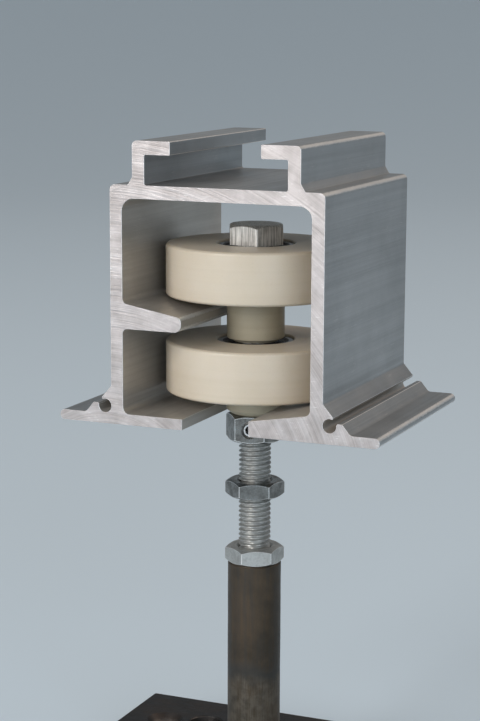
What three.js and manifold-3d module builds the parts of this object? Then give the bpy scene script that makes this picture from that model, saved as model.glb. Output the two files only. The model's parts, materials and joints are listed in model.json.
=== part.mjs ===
// Twin-wheel track carrier on a test stand.
//
// A short length of aluminium track hangs over a two-wheel carrier. The upper wheel rolls on the
// ledge at the left of the track and the lower wheel on the ledge at the right, so the two wheels
// turn opposite ways on one upright bolt. The bolt hangs below the track, carries a travelling
// nut, and screws into a post that is welded to a base plate.
//
// Millimetres, +Z up. The origin is on the post's axis, at the underside of the base plate. X runs
// across the track and Y along it.

import * as THREE from 'three';
import { mergeVertices } from 'three/addons/utils/BufferGeometryUtils.js';
import Module from 'manifold-3d';

const wasm = await Module();
wasm.setup();

// ---------------------------------------------------------------- driving dimensions

// Base plate and post.
const PLATE_SIDE = 160;
const PLATE_THICK = 12;
const PLATE_CHAMFER = 0.6;
const FIXING_PITCH = { x: 125, y: 107 };
const FIXING_HOLE_R = 4.5;
const FIXING_SINK_R = 7.5;
const SPARE_HOLE = { x: -45.5, y: 57, r: 7 };
const POST_R = 9.9;
const POST_HEIGHT = 90;
const POST_BORE_DEPTH = 42;
const WELD_LEG = 3.5;

// M12 thread, bolt and nuts. Threads are plain cylinders, the bolt a little under its 12 mm.
const THREAD_R = 5.9;
const NUT_BORE_R = 6.05;
const ACROSS_FLATS = 19;
const BOLT_LENGTH = 150;
const BOLT_HEAD = 7.5;
const FULL_NUT = 10;
const JAM_NUT = 6;
const TRAVEL_NUT_GAP = 19;
const CLAMP_NUT_GAP = 15;

// Turn of each hexagon about the bolt, as the nuts were left, in degrees.
const HEAD_TURN = -5.7;
const CLAMP_NUT_TURN = 10.3;
const TRAVEL_NUT_TURN = 21.1;
const LOCK_NUT_TURN = 26.8;

// Slotted spring pin through the clamp nut and the bolt.
const PIN_R = 2.5;
const PIN_BORE_R = 1.55;
const PIN_SLOT = 0.9;
const PIN_HOLE_R = 2.55;
const PIN_HOLE_SINK = 0.55;
const PIN_LENGTH = 18.4;

// Wheels and their bearings (12 x 28 x 8 ball bearings, two to a wheel).
const WHEEL_R = 32.5;
const WHEEL_WIDTH = 18.8;
const WHEEL_EDGE_R = 1.2;
const WHEEL_RIB = 1.4;
const WHEEL_RIB_R = 12.4;
const BEARING_R = 14;
const BEARING_BORE_R = 6;
const BEARING_WIDTH = 8;
const BEARING_CHAMFER = 0.4;
const OUTER_RING_R = 12.1;
const INNER_RING_R = 8.2;
const BALL_PITCH_R = 10;
const BALL_R = 2.38;
const BALL_COUNT = 8;
const RACE_R = 2.5;
const CAGE_WALL = 1.1;
const SEAL_THICK = 0.7;
const SEAL_INSET = 0.3;

// Spacers clamped between the inner rings.
const SPACER_R = 10.5;
const SPACER_BORE_R = 6.15;
const SPACER_NOSE_R = 8.1;
const SPACER_NOSE = 1;
const MIDDLE_SPACER = 17.5;
const LOWER_SPACER = 9.4;
const LOWER_SPACER_FOOT = { r: 8.6, height: 1.6 };

// Track: the outline's sizes are from the middle of the slot and from the track's underside.
const TRACK_LENGTH = 85.5;
const TRACK_SHIFT = { x: 1.5, y: 2.75, z: 158.1 };
const TRACK = {
  halfWidth: 40,
  innerHalf: 35.33,
  shoulder: 84.9,
  ceiling: 80.15,
  top: 100.2,
  lipUnder: 95.4,
  lipTip: 16.85,
  channelOuter: 31.3,
  channelInner: 26.6,
  flangeHalf: 60.4,
  flangeThick: 3.65,
};
const LEFT_LEDGE = { tip: -12.8, under: 34.35, wallZ: 43.49, slope: -0.176 };
const LEFT_SHELF = { tip: -12.4, top: 3.9 };
const RIGHT_LEDGE = { tip: 12.7, wallZ: 9.27, slope: 0.1695 };
const PORT = { x: 42.4, z: 6.4, r: 2.45, from: 10, to: -295 };

// Facets round each turned piece.
const FACETS = {
  wheel: 40, edge: 2, ring: 24, seal: 24, cage: 16, rod: 24, corner: 3, hole: 24, pin: 20,
};

// ---------------------------------------------------------------- levels up the bolt

const POST_TOP = PLATE_THICK + POST_HEIGHT;
const LOCK_NUT_TOP = POST_TOP + JAM_NUT;
const TRAVEL_NUT_Z = LOCK_NUT_TOP + TRAVEL_NUT_GAP;
const CLAMP_NUT_Z = TRAVEL_NUT_Z + JAM_NUT + CLAMP_NUT_GAP;
const LOWER_SPACER_Z = CLAMP_NUT_Z + FULL_NUT;
const BEARING_STACK = 2 * BEARING_WIDTH + WHEEL_RIB;
const WHEEL_RECESS = (WHEEL_WIDTH - BEARING_STACK) / 2;
const LOWER_STACK_Z = LOWER_SPACER_Z + LOWER_SPACER;
const MIDDLE_SPACER_Z = LOWER_STACK_Z + BEARING_STACK;
const UPPER_STACK_Z = MIDDLE_SPACER_Z + MIDDLE_SPACER;
const HEAD_Z = UPPER_STACK_Z + BEARING_STACK;

// ---------------------------------------------------------------- finishes

const FINISH = {
  rawSteel: { color: 0x35302c, roughness: 0.6, metalness: 0.7 },
  weld: { color: 0x4a4644, roughness: 0.5, metalness: 0.8 },
  zinc: { color: 0xa9adad, roughness: 0.35, metalness: 0.9 },
  brightSteel: { color: 0xbfb9b2, roughness: 0.3, metalness: 1.0 },
  springSteel: { color: 0x4b4b4d, roughness: 0.4, metalness: 0.9 },
  nylon: { color: 0xd8cdb6, roughness: 0.4, metalness: 0.0 },
  spacer: { color: 0xb3a98e, roughness: 0.5, metalness: 0.0 },
  bearingSteel: { color: 0xa6a8aa, roughness: 0.2, metalness: 1.0 },
  cage: { color: 0x6b4a2f, roughness: 0.6, metalness: 0.0 },
  seal: { color: 0x141414, roughness: 0.6, metalness: 0.0 },
  aluminium: { color: 0xb4b8ba, roughness: 0.45, metalness: 0.9 },
};

// ---------------------------------------------------------------- geometry helpers

const radians = THREE.MathUtils.degToRad;

// Leaves only positions, joins shared corners and drops triangles that have no area.
function joined(geometry) {
  const bare = geometry.index ? geometry.toNonIndexed() : geometry.clone();
  bare.deleteAttribute('normal');
  bare.deleteAttribute('uv');
  const merged = mergeVertices(bare, 1e-4);
  const from = merged.index.array;
  const kept = [];
  for (let i = 0; i < from.length; i += 3) {
    const [a, b, c] = [from[i], from[i + 1], from[i + 2]];
    if (a !== b && b !== c && c !== a) kept.push(a, b, c);
  }
  merged.setIndex(kept);
  return merged;
}

function toSolid(geometry) {
  const closed = joined(geometry);
  const vertProperties = new Float32Array(closed.attributes.position.array);
  const triVerts = new Uint32Array(closed.index.array);
  return new wasm.Manifold(new wasm.Mesh({ numProp: 3, vertProperties, triVerts }));
}

function fromSolid(solid) {
  const mesh = solid.getMesh();
  const geometry = new THREE.BufferGeometry();
  const positions = new THREE.BufferAttribute(new Float32Array(mesh.vertProperties), 3);
  geometry.setAttribute('position', positions);
  geometry.setIndex(new THREE.BufferAttribute(new Uint32Array(mesh.triVerts), 1));
  return geometry;
}

// A solid of revolution about Z. The profile is [radius, z] points, anticlockwise round the
// material; it closes on itself unless it starts and ends on the axis.
function turned(profile, facets) {
  const points = profile.map(([r, z]) => new THREE.Vector2(r, z));
  const onAxis = profile[0][0] === 0 && profile.at(-1)[0] === 0;
  if (!onAxis) points.push(points[0].clone());
  return new THREE.LatheGeometry(points, facets).rotateX(Math.PI / 2);
}

// Points along an arc, angles in degrees, both ends included.
function arc(x, y, r, from, to, steps) {
  const points = [];
  for (let i = 0; i <= steps; i += 1) {
    const angle = radians(from + ((to - from) * i) / steps);
    points.push([x + r * Math.cos(angle), y + r * Math.sin(angle)]);
  }
  return points;
}

// Rounds the corners of a closed outline. Each corner is [x, y, radius]; a corner with no radius
// stays sharp.
function rounded(corners) {
  const points = [];
  corners.forEach(([x, y, r = 0], i) => {
    if (r === 0) {
      points.push(new THREE.Vector2(x, y));
      return;
    }
    const at = new THREE.Vector2(x, y);
    const before = new THREE.Vector2(...corners.at(i - 1)).sub(at).normalize();
    const after = new THREE.Vector2(...corners[(i + 1) % corners.length]).sub(at).normalize();
    const half = Math.acos(before.dot(after)) / 2;
    const middle = before.clone().add(after).normalize();
    const centre = middle.multiplyScalar(r / Math.sin(half)).add(at);
    const start = before.multiplyScalar(r / Math.tan(half)).add(at).sub(centre);
    const end = after.multiplyScalar(r / Math.tan(half)).add(at).sub(centre);
    const sweep = Math.atan2(start.cross(end), start.dot(end));
    const origin = new THREE.Vector2();
    for (let k = 0; k <= FACETS.corner; k += 1) {
      const turn = (sweep * k) / FACETS.corner;
      points.push(start.clone().rotateAround(origin, turn).add(centre));
    }
  });
  return points;
}

// A bar of the given outline, its length along +Z from z = 0.
function extruded(points, length) {
  return new THREE.ExtrudeGeometry(new THREE.Shape(points), { depth: length, bevelEnabled: false });
}

function piece(name, geometry, finish) {
  const mesh = new THREE.Mesh(joined(geometry), new THREE.MeshStandardMaterial(FINISH[finish]));
  mesh.name = name;
  return mesh;
}

// ---------------------------------------------------------------- hexagons

// A hexagonal prism across ACROSS_FLATS, its corners cut back at 30 degrees at either end.
function hexagon(height, { bottom = true, top = true } = {}) {
  const corner = ACROSS_FLATS / Math.sqrt(3);
  const prism = new THREE.CylinderGeometry(corner, corner, height, 6).rotateX(Math.PI / 2);
  prism.rotateZ(Math.PI / 2).translate(0, 0, height / 2);
  const faceR = ACROSS_FLATS / 2 - 0.4;
  const wide = corner + 1;
  const drop = (wide - faceR) * Math.tan(radians(30));
  const profile = [
    [0, 0],
    ...(bottom ? [[faceR, 0], [wide, drop]] : [[wide, 0]]),
    ...(top ? [[wide, height - drop], [faceR, height]] : [[wide, height]]),
    [0, height],
  ];
  return toSolid(prism).intersect(toSolid(turned(profile, FACETS.rod)));
}

// A nut with a threaded bore, countersunk at both ends.
function nutSolid(height) {
  const sink = 0.7;
  const bore = turned([
    [0, -1],
    [NUT_BORE_R + sink, -1],
    [NUT_BORE_R + sink, 0],
    [NUT_BORE_R, sink],
    [NUT_BORE_R, height - sink],
    [NUT_BORE_R + sink, height],
    [NUT_BORE_R + sink, height + 1],
    [0, height + 1],
  ], FACETS.rod);
  return hexagon(height).subtract(toSolid(bore));
}

function nut(name, height, z, turn) {
  const mesh = piece(name, fromSolid(nutSolid(height)), 'zinc');
  mesh.position.z = z;
  mesh.rotation.z = radians(turn);
  return mesh;
}

// ---------------------------------------------------------------- stand

// A conical screw hole down through the plate.
function sunkHole(x, y) {
  const drop = FIXING_SINK_R - FIXING_HOLE_R;
  const profile = [
    [0, -1],
    [FIXING_HOLE_R, -1],
    [FIXING_HOLE_R, PLATE_THICK - drop],
    [FIXING_SINK_R, PLATE_THICK],
    [FIXING_SINK_R, PLATE_THICK + 1],
    [0, PLATE_THICK + 1],
  ];
  return toSolid(turned(profile, FACETS.hole).translate(x, y, 0));
}

function basePlate() {
  const half = PLATE_SIDE / 2;
  const c = PLATE_CHAMFER;
  const square = [
    new THREE.Vector2(-half, -half),
    new THREE.Vector2(half, -half),
    new THREE.Vector2(half, half),
    new THREE.Vector2(-half, half),
  ];
  const bevel = { bevelThickness: c, bevelSize: c, bevelOffset: -c, bevelSegments: 1 };
  const settings = { depth: PLATE_THICK - 2 * c, bevelEnabled: true, ...bevel };
  const slab = new THREE.ExtrudeGeometry(new THREE.Shape(square), settings).translate(0, 0, c);
  let plate = toSolid(slab);
  for (const sx of [-1, 1]) {
    for (const sy of [-1, 1]) {
      plate = plate.subtract(sunkHole((sx * FIXING_PITCH.x) / 2, (sy * FIXING_PITCH.y) / 2));
    }
  }
  const { x, y, r } = SPARE_HOLE;
  const drill = [[0, -1], [r, -1], [r, PLATE_THICK + 1], [0, PLATE_THICK + 1]];
  plate = plate.subtract(toSolid(turned(drill, FACETS.hole).translate(x, y, 0)));
  return piece('base_plate', fromSolid(plate), 'rawSteel');
}

function post() {
  const bottom = PLATE_THICK;
  const bore = POST_TOP - POST_BORE_DEPTH;
  const profile = [
    [0, bottom],
    [POST_R, bottom],
    [POST_R, POST_TOP - 0.5],
    [POST_R - 0.5, POST_TOP],
    [NUT_BORE_R, POST_TOP],
    [NUT_BORE_R, bore],
    [0, bore - 3],
  ];
  return piece('post', turned(profile, FACETS.rod), 'rawSteel');
}

// The fillet weld round the foot of the post.
function footWeld() {
  const inner = POST_R + 0.05;
  const profile = [
    [inner, PLATE_THICK],
    [inner + WELD_LEG, PLATE_THICK],
    [inner + WELD_LEG * 0.66, PLATE_THICK + WELD_LEG * 0.52],
    [inner + WELD_LEG * 0.3, PLATE_THICK + WELD_LEG * 0.84],
    [inner, PLATE_THICK + WELD_LEG],
  ];
  return piece('foot_weld', turned(profile, FACETS.rod), 'weld');
}

// ---------------------------------------------------------------- pendant bolt and its nuts

// A drill along the pin's line, which leaves the middle of one of the clamp nut's flats.
function pinDrill(radius, halfLength) {
  const drill = new THREE.CylinderGeometry(radius, radius, 2 * halfLength, FACETS.pin);
  return drill.rotateZ(radians(CLAMP_NUT_TURN));
}

function pendantBolt() {
  const end = HEAD_Z - BOLT_LENGTH;
  const shank = turned([
    [0, end],
    [THREAD_R - 1, end],
    [THREAD_R, end + 1],
    [THREAD_R, HEAD_Z + 1],
    [0, HEAD_Z + 1],
  ], FACETS.rod);
  const headGeometry = fromSolid(hexagon(BOLT_HEAD, { bottom: false }));
  headGeometry.rotateZ(radians(HEAD_TURN)).translate(0, 0, HEAD_Z);
  const drill = pinDrill(PIN_HOLE_R, 12).translate(0, 0, CLAMP_NUT_Z + FULL_NUT / 2);
  const bolt = toSolid(headGeometry).add(toSolid(shank)).subtract(toSolid(drill));
  return piece('pendant_bolt', fromSolid(bolt), 'zinc');
}

function clampNut() {
  const flat = ACROSS_FLATS / 2;
  const turn = radians(CLAMP_NUT_TURN);
  const body = toSolid(fromSolid(nutSolid(FULL_NUT)).rotateZ(turn));
  const drill = toSolid(pinDrill(PIN_HOLE_R, 12).translate(0, 0, FULL_NUT / 2));
  let drilled = body.subtract(drill);
  for (const side of [-1, 1]) {
    const depth = PIN_HOLE_SINK + 0.2;
    const cone = new THREE.CylinderGeometry(PIN_HOLE_R + depth, PIN_HOLE_R, depth, FACETS.pin);
    cone.translate(0, flat - PIN_HOLE_SINK / 2 + 0.1, 0);
    if (side < 0) cone.rotateZ(Math.PI);
    cone.rotateZ(turn).translate(0, 0, FULL_NUT / 2);
    drilled = drilled.subtract(toSolid(cone));
  }
  const mesh = piece('clamp_nut', fromSolid(drilled), 'zinc');
  mesh.position.z = CLAMP_NUT_Z;
  return mesh;
}

// A rolled tube with a slot down its side.
function lockPin() {
  const gap = THREE.MathUtils.radToDeg(PIN_SLOT / PIN_R);
  const outside = arc(0, 0, PIN_R, gap / 2, 360 - gap / 2, 18);
  const inside = arc(0, 0, PIN_BORE_R, 360 - gap / 2, gap / 2, 18);
  const outline = [...outside, ...inside].map(([x, y]) => new THREE.Vector2(x, y));
  const pin = extruded(outline, PIN_LENGTH).translate(0, 0, -PIN_LENGTH / 2);
  pin.rotateX(-Math.PI / 2).rotateZ(radians(CLAMP_NUT_TURN));
  const mesh = piece('lock_pin', pin, 'springSteel');
  mesh.position.z = CLAMP_NUT_Z + FULL_NUT / 2;
  return mesh;
}

// ---------------------------------------------------------------- spacers

function middleSpacer() {
  const nose = SPACER_NOSE;
  const top = MIDDLE_SPACER;
  const profile = [
    [SPACER_BORE_R, 0],
    [SPACER_NOSE_R, 0],
    [SPACER_NOSE_R, nose],
    [SPACER_R, nose],
    [SPACER_R, top - nose],
    [SPACER_NOSE_R, top - nose],
    [SPACER_NOSE_R, top],
    [SPACER_BORE_R, top],
  ];
  const mesh = piece('middle_spacer', turned(profile, FACETS.ring), 'spacer');
  mesh.position.z = MIDDLE_SPACER_Z;
  return mesh;
}

function lowerSpacer() {
  const top = LOWER_SPACER;
  const profile = [
    [SPACER_BORE_R, 0],
    [LOWER_SPACER_FOOT.r, 0],
    [SPACER_R, LOWER_SPACER_FOOT.height],
    [SPACER_R, top - SPACER_NOSE],
    [SPACER_NOSE_R, top - SPACER_NOSE],
    [SPACER_NOSE_R, top],
    [SPACER_BORE_R, top],
  ];
  const mesh = piece('lower_spacer', turned(profile, FACETS.ring), 'spacer');
  mesh.position.z = LOWER_SPACER_Z;
  return mesh;
}

// ---------------------------------------------------------------- bearings

// The ball race is an arc this many degrees either side of the middle of the ring, in so many
// straight pieces.
const RACE_SPREAD = 32;
const RACE_STEPS = 4;

function outerRing(name) {
  const top = BEARING_WIDTH;
  const middle = top / 2;
  const c = BEARING_CHAMFER;
  const race = arc(BALL_PITCH_R, middle, RACE_R, RACE_SPREAD, -RACE_SPREAD, RACE_STEPS);
  const profile = [
    [OUTER_RING_R, 0],
    [BEARING_R - c, 0],
    [BEARING_R, c],
    [BEARING_R, top - c],
    [BEARING_R - c, top],
    [OUTER_RING_R, top],
    ...race,
  ];
  return piece(name, turned(profile, FACETS.ring), 'bearingSteel');
}

function innerRing(name) {
  const top = BEARING_WIDTH;
  const middle = top / 2;
  const race = arc(BALL_PITCH_R, middle, RACE_R, 180 + RACE_SPREAD, 180 - RACE_SPREAD, RACE_STEPS);
  const profile = [
    [BEARING_BORE_R, 0],
    [INNER_RING_R, 0],
    ...race,
    [INNER_RING_R, top],
    [BEARING_BORE_R, top],
  ];
  return piece(name, turned(profile, FACETS.ring), 'bearingSteel');
}

// The balls in their cage, as the one body that runs round between the rings.
function ballCage(name) {
  const half = CAGE_WALL;
  const band = turned([
    [BALL_PITCH_R - half, -half],
    [BALL_PITCH_R + half, -half],
    [BALL_PITCH_R + half, half],
    [BALL_PITCH_R - half, half],
  ], FACETS.cage);
  let cage = toSolid(band);
  for (let i = 0; i < BALL_COUNT; i += 1) {
    const angle = (2 * Math.PI * (i + 0.5)) / BALL_COUNT;
    const ball = new THREE.OctahedronGeometry(BALL_R, 1);
    ball.translate(BALL_PITCH_R * Math.cos(angle), BALL_PITCH_R * Math.sin(angle), 0);
    cage = cage.add(toSolid(ball));
  }
  return piece(name, fromSolid(cage).translate(0, 0, BEARING_WIDTH / 2), 'cage');
}

function seal(name, z) {
  const profile = [
    [INNER_RING_R + 0.1, z],
    [OUTER_RING_R - 0.1, z],
    [OUTER_RING_R - 0.1, z + SEAL_THICK],
    [INNER_RING_R + 0.1, z + SEAL_THICK],
  ];
  return piece(name, turned(profile, FACETS.seal), 'seal');
}

function bearing(name) {
  const group = new THREE.Group();
  group.add(outerRing(`${name}_outer_ring`));
  group.add(innerRing(`${name}_inner_ring`));
  group.add(ballCage(`${name}_ball_cage`));
  group.add(seal(`${name}_bottom_seal`, SEAL_INSET));
  group.add(seal(`${name}_top_seal`, BEARING_WIDTH - SEAL_INSET - SEAL_THICK));
  return group;
}

// ---------------------------------------------------------------- wheels

// The nylon wheel: two bearing seats, parted by a rib, with a shallow recess outside each.
function wheel(name) {
  const seatR = BEARING_R + 0.05;
  const low = 0;
  const high = WHEEL_WIDTH;
  const e = WHEEL_EDGE_R;
  const ribLow = WHEEL_RECESS + BEARING_WIDTH;
  const ribHigh = ribLow + WHEEL_RIB;
  const profile = [
    [seatR + 0.4, low],
    ...arc(WHEEL_R - e, low + e, e, -90, 0, FACETS.edge),
    ...arc(WHEEL_R - e, high - e, e, 0, 90, FACETS.edge),
    [seatR + 0.4, high],
    [seatR, high - 0.4],
    [seatR, ribHigh - 0.02],
    [WHEEL_RIB_R, ribHigh - 0.02],
    [WHEEL_RIB_R, ribLow + 0.02],
    [seatR, ribLow + 0.02],
    [seatR, low + 0.4],
  ];
  const mesh = piece(name, turned(profile, FACETS.wheel), 'nylon');
  mesh.position.z = -WHEEL_RECESS;
  return mesh;
}

// The ring that keeps a wheel's two inner rings apart.
function distanceRing(name) {
  const profile = [
    [SPACER_BORE_R, 0.02],
    [INNER_RING_R - 0.2, 0.02],
    [INNER_RING_R - 0.2, WHEEL_RIB - 0.02],
    [SPACER_BORE_R, WHEEL_RIB - 0.02],
  ];
  const mesh = piece(name, turned(profile, FACETS.seal), 'bearingSteel');
  mesh.position.z = BEARING_WIDTH;
  return mesh;
}

function wheelSet(side, z) {
  const group = new THREE.Group();
  const first = bearing(`${side}_wheel_bearing_1`);
  const second = bearing(`${side}_wheel_bearing_2`);
  second.position.z = BEARING_WIDTH + WHEEL_RIB;
  group.add(wheel(`${side}_wheel`), first, second, distanceRing(`${side}_distance_ring`));
  group.position.z = z;
  return group;
}

// ---------------------------------------------------------------- track

// The outside of one half of the track, from the foot of the wall up to the T-slot's floor, with
// the flange and its screw port. side is 1 for the right half and -1 for the left, and the
// right half is anticlockwise.
function outerHalf(side) {
  const t = TRACK;
  const port = arc(PORT.x, PORT.z, PORT.r, PORT.from, PORT.to, 16);
  const corners = [
    [t.flangeHalf, 0, 1.75],
    [t.flangeHalf, t.flangeThick, 1.75],
    [50, t.flangeThick, 2],
    [46.95, 7.35, 0.6],
    [45.25, 7.35, 0.4],
    ...port,
    [43.75, 9.3, 0.3],
    [t.halfWidth, 13.7, 1],
    [t.halfWidth, t.shoulder, 2],
    [32.9, t.shoulder, 0.8],
    [t.channelOuter, 87.6, 1],
    [t.channelOuter, t.top, 1.8],
    [t.lipTip, t.top, 0.5],
    [t.lipTip, t.lipUnder, 0.5],
    [t.channelInner, t.lipUnder, 0.6],
    [t.channelInner, t.shoulder, 0.8],
  ];
  const placed = corners.map(([x, z, r]) => [side * x, z, r]);
  return side > 0 ? placed : placed.reverse();
}

// The inside of the track, from the left shelf up over the ceiling and down to the right ledge.
function innerOutline() {
  const inside = TRACK.innerHalf;
  const leftTipTop = LEFT_LEDGE.wallZ + LEFT_LEDGE.slope * (LEFT_LEDGE.tip + inside);
  const rightTipTop = RIGHT_LEDGE.wallZ + RIGHT_LEDGE.slope * (RIGHT_LEDGE.tip - inside);
  return [
    [LEFT_SHELF.tip, 0],
    [LEFT_SHELF.tip, LEFT_SHELF.top],
    [-inside, LEFT_SHELF.top, 2.5],
    [-inside, LEFT_LEDGE.under, 1.8],
    [LEFT_LEDGE.tip, LEFT_LEDGE.under, 2.6],
    [LEFT_LEDGE.tip, leftTipTop, 2],
    [-inside, LEFT_LEDGE.wallZ, 2],
    [-inside, TRACK.ceiling, 4.5],
    [inside, TRACK.ceiling, 4.5],
    [inside, RIGHT_LEDGE.wallZ, 2.2],
    [RIGHT_LEDGE.tip, rightTipTop],
    [RIGHT_LEDGE.tip, 0],
  ];
}

function track() {
  const outline = rounded([...outerHalf(1), ...outerHalf(-1), ...innerOutline()]);
  const bar = extruded(outline, TRACK_LENGTH).rotateX(Math.PI / 2);
  bar.translate(0, TRACK_LENGTH / 2, 0);
  const mesh = piece('track', bar, 'aluminium');
  mesh.position.set(TRACK_SHIFT.x, TRACK_SHIFT.y, TRACK_SHIFT.z);
  return mesh;
}

// ---------------------------------------------------------------- assembly

const stand = new THREE.Group();
stand.add(basePlate(), post(), footWeld());
stand.add(nut('lock_nut', JAM_NUT, POST_TOP, LOCK_NUT_TURN));

const carrier = new THREE.Group();
carrier.add(pendantBolt(), clampNut(), lockPin(), lowerSpacer(), middleSpacer());
carrier.add(nut('travelling_nut', JAM_NUT, TRAVEL_NUT_Z, TRAVEL_NUT_TURN));
carrier.add(wheelSet('lower', LOWER_STACK_Z), wheelSet('upper', UPPER_STACK_Z));

const assembly = new THREE.Group();
assembly.add(stand, carrier, track());

export default assembly;
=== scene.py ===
"""The looks of a twin-wheel track carrier on its stand.

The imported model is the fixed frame. Each class below stands for one sub-assembly: it takes its
place from the frame, works its surfaces out as numpy grids and dresses them in its finishes.
Lengths are millimetres where a name says so or where a profile is drawn, and metres elsewhere.
"""

import json
import logging
import math
from collections.abc import Callable, Mapping, Sequence
from dataclasses import dataclass
from enum import Enum
from typing import Any

import bmesh
import bpy
import numpy as np
from mathutils import Matrix, Vector


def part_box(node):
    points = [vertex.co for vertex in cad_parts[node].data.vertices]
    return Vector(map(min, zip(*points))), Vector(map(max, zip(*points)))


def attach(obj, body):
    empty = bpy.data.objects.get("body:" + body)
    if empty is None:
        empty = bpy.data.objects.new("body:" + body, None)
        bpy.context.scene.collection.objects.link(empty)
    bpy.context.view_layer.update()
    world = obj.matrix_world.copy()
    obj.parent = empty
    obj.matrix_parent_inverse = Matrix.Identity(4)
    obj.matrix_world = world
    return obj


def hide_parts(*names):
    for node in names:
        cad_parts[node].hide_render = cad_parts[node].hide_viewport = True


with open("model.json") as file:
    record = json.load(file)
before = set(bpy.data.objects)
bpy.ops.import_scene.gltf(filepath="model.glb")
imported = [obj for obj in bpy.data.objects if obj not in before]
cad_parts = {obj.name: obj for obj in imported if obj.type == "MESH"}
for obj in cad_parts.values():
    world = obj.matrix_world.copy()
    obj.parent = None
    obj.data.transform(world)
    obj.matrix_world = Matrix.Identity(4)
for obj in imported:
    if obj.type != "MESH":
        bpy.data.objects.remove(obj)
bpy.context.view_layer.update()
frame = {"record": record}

LOG = logging.getLogger("carrier")
MM = 0.001
TAU = 2.0 * math.pi
SHARP_ANGLE = math.radians(24.0)
Array = np.ndarray


# ------------------------------------------------------------------ shapes as arrays


@dataclass(frozen=True)
class Outline:
    """A closed line in a plane.

    Attributes:
        points: The line's points, in millimetres, one row each, anticlockwise round the material.
        wear: How exposed each point is, from 0 on a flat to 1 on an outside corner.
        room: How far each point can move into the material before its corner closes up.
    """

    points: Array
    wear: Array
    room: Array


SHARP_WEAR = 0.6
OPEN_ROOM = 5.0
ARC_ROOM_SHARE = 0.7


def rounded(corners: Sequence[tuple[float, ...]], steps: int = 6) -> Outline:
    """Rounds the corners of a closed outline.

    A corner of radius r is an arc of that radius, tangent to both of its sides.

    Args:
        corners: (x, y) or (x, y, radius) for each corner, anticlockwise.
        steps: The number of straight pieces in each arc.

    Returns:
        The outline with its arcs.
    """
    count = len(corners)
    points, wear, room = [], [], []
    for index, corner in enumerate(corners):
        at = np.array(corner[:2], float)
        radius = corner[2] if len(corner) > 2 else 0.0
        before = np.array(corners[index - 1][:2], float) - at
        after = np.array(corners[(index + 1) % count][:2], float) - at
        before /= np.linalg.norm(before)
        after /= np.linalg.norm(after)
        outside = before[0] * after[1] - before[1] * after[0] < 0.0
        if radius <= 0.0:
            points.append(at[None])
            wear.append(np.full(1, SHARP_WEAR if outside else 0.0))
            room.append(np.full(1, OPEN_ROOM))
            continue
        half = math.acos(float(np.clip(before @ after, -1.0, 1.0))) / 2.0
        middle = (before + after) / np.linalg.norm(before + after)
        centre = at + middle * radius / math.sin(half)
        start = at + before * radius / math.tan(half) - centre
        end = at + after * radius / math.tan(half) - centre
        sweep = math.atan2(start[0] * end[1] - start[1] * end[0], float(start @ end))
        turn = sweep * np.linspace(0.0, 1.0, steps + 1)
        arc_x = start[0] * np.cos(turn) - start[1] * np.sin(turn)
        arc_y = start[0] * np.sin(turn) + start[1] * np.cos(turn)
        points.append(centre + np.stack([arc_x, arc_y], axis=1))
        rise = np.sin(np.linspace(0.0, math.pi, steps + 1))
        wear.append(rise if outside else np.zeros(steps + 1))
        room.append(np.full(steps + 1, radius * ARC_ROOM_SHARE if outside else OPEN_ROOM))
    return Outline(np.concatenate(points), np.concatenate(wear), np.concatenate(room))


def arc(x: float, y: float, radius: float, start: float, end: float, steps: int) -> Array:
    """Points on an arc, its angles in degrees and both ends included.

    Args:
        x: The centre's first coordinate.
        y: The centre's second coordinate.
        radius: The arc's radius.
        start: The angle of the first point.
        end: The angle of the last point.
        steps: The number of straight pieces.

    Returns:
        One row for each point.
    """
    angle = np.radians(np.linspace(start, end, steps + 1))
    return np.stack([x + radius * np.cos(angle), y + radius * np.sin(angle)], axis=1)


def inward(outline: Outline, distance: float) -> Array:
    """Moves each point of an outline into the material, along the mean of its sides' normals.

    Args:
        outline: The outline to shrink.
        distance: How far its sides move, in millimetres.

    Returns:
        The moved points.
    """
    here = outline.points
    ahead = np.roll(here, -1, axis=0) - here
    ahead /= np.maximum(np.linalg.norm(ahead, axis=1, keepdims=True), 1e-9)
    behind = np.roll(ahead, 1, axis=0)
    normal = np.stack([-(ahead[:, 1] + behind[:, 1]), ahead[:, 0] + behind[:, 0]], axis=1)
    length = np.maximum(np.linalg.norm(normal, axis=1, keepdims=True), 1e-9)
    mitre = np.clip(2.0 / length, 1.0, 1.6)
    step = np.minimum(distance, outline.room)[:, None]
    return here + normal / length * mitre * step


def even_angles(count: int) -> Array:
    """Angles evenly spaced round a full turn.

    Args:
        count: How many there are.

    Returns:
        The angles, in radians.
    """
    return np.linspace(0.0, TAU, count, endpoint=False)


def hexagon_angles(turn: float, per_side: int = 24, crowding: float = 0.86) -> Array:
    """Angles round a full turn that crowd together at a hexagon's corners.

    Within each side the angle runs as t less a share of a sine of one turn, so its steps are
    short at both ends.

    Args:
        turn: The angle of one corner, in radians.
        per_side: The number of angles on each side.
        crowding: The share of the sine, from 0 for even steps to 1.

    Returns:
        The angles, in radians.
    """
    t = np.arange(per_side) / per_side
    eased = t - crowding * np.sin(TAU * t) / TAU
    return (turn + (np.arange(6)[:, None] + eased[None]) * math.pi / 3.0).ravel()


def hexagon_radius(angles: Array, flats: float, turn: float, power: float = 120.0) -> Array:
    """The distance from the axis to a hexagon's side at each angle.

    It is the apothem over a high power mean of the cosines to the three pairs of sides, which
    is the hexagon with its corners a little eased.

    Args:
        angles: The angles, in radians.
        flats: The size across flats.
        turn: The angle of one corner, in radians.
        power: The power of the mean, which makes the corners sharper as it grows.

    Returns:
        The radius at each angle.
    """
    normals = turn + math.pi / 6.0 + np.arange(3) * math.pi / 3.0
    cosines = np.abs(np.cos(angles[:, None] - normals[None]))
    return flats / 2.0 / np.sum(cosines**power, axis=1) ** (1.0 / power)


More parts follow.
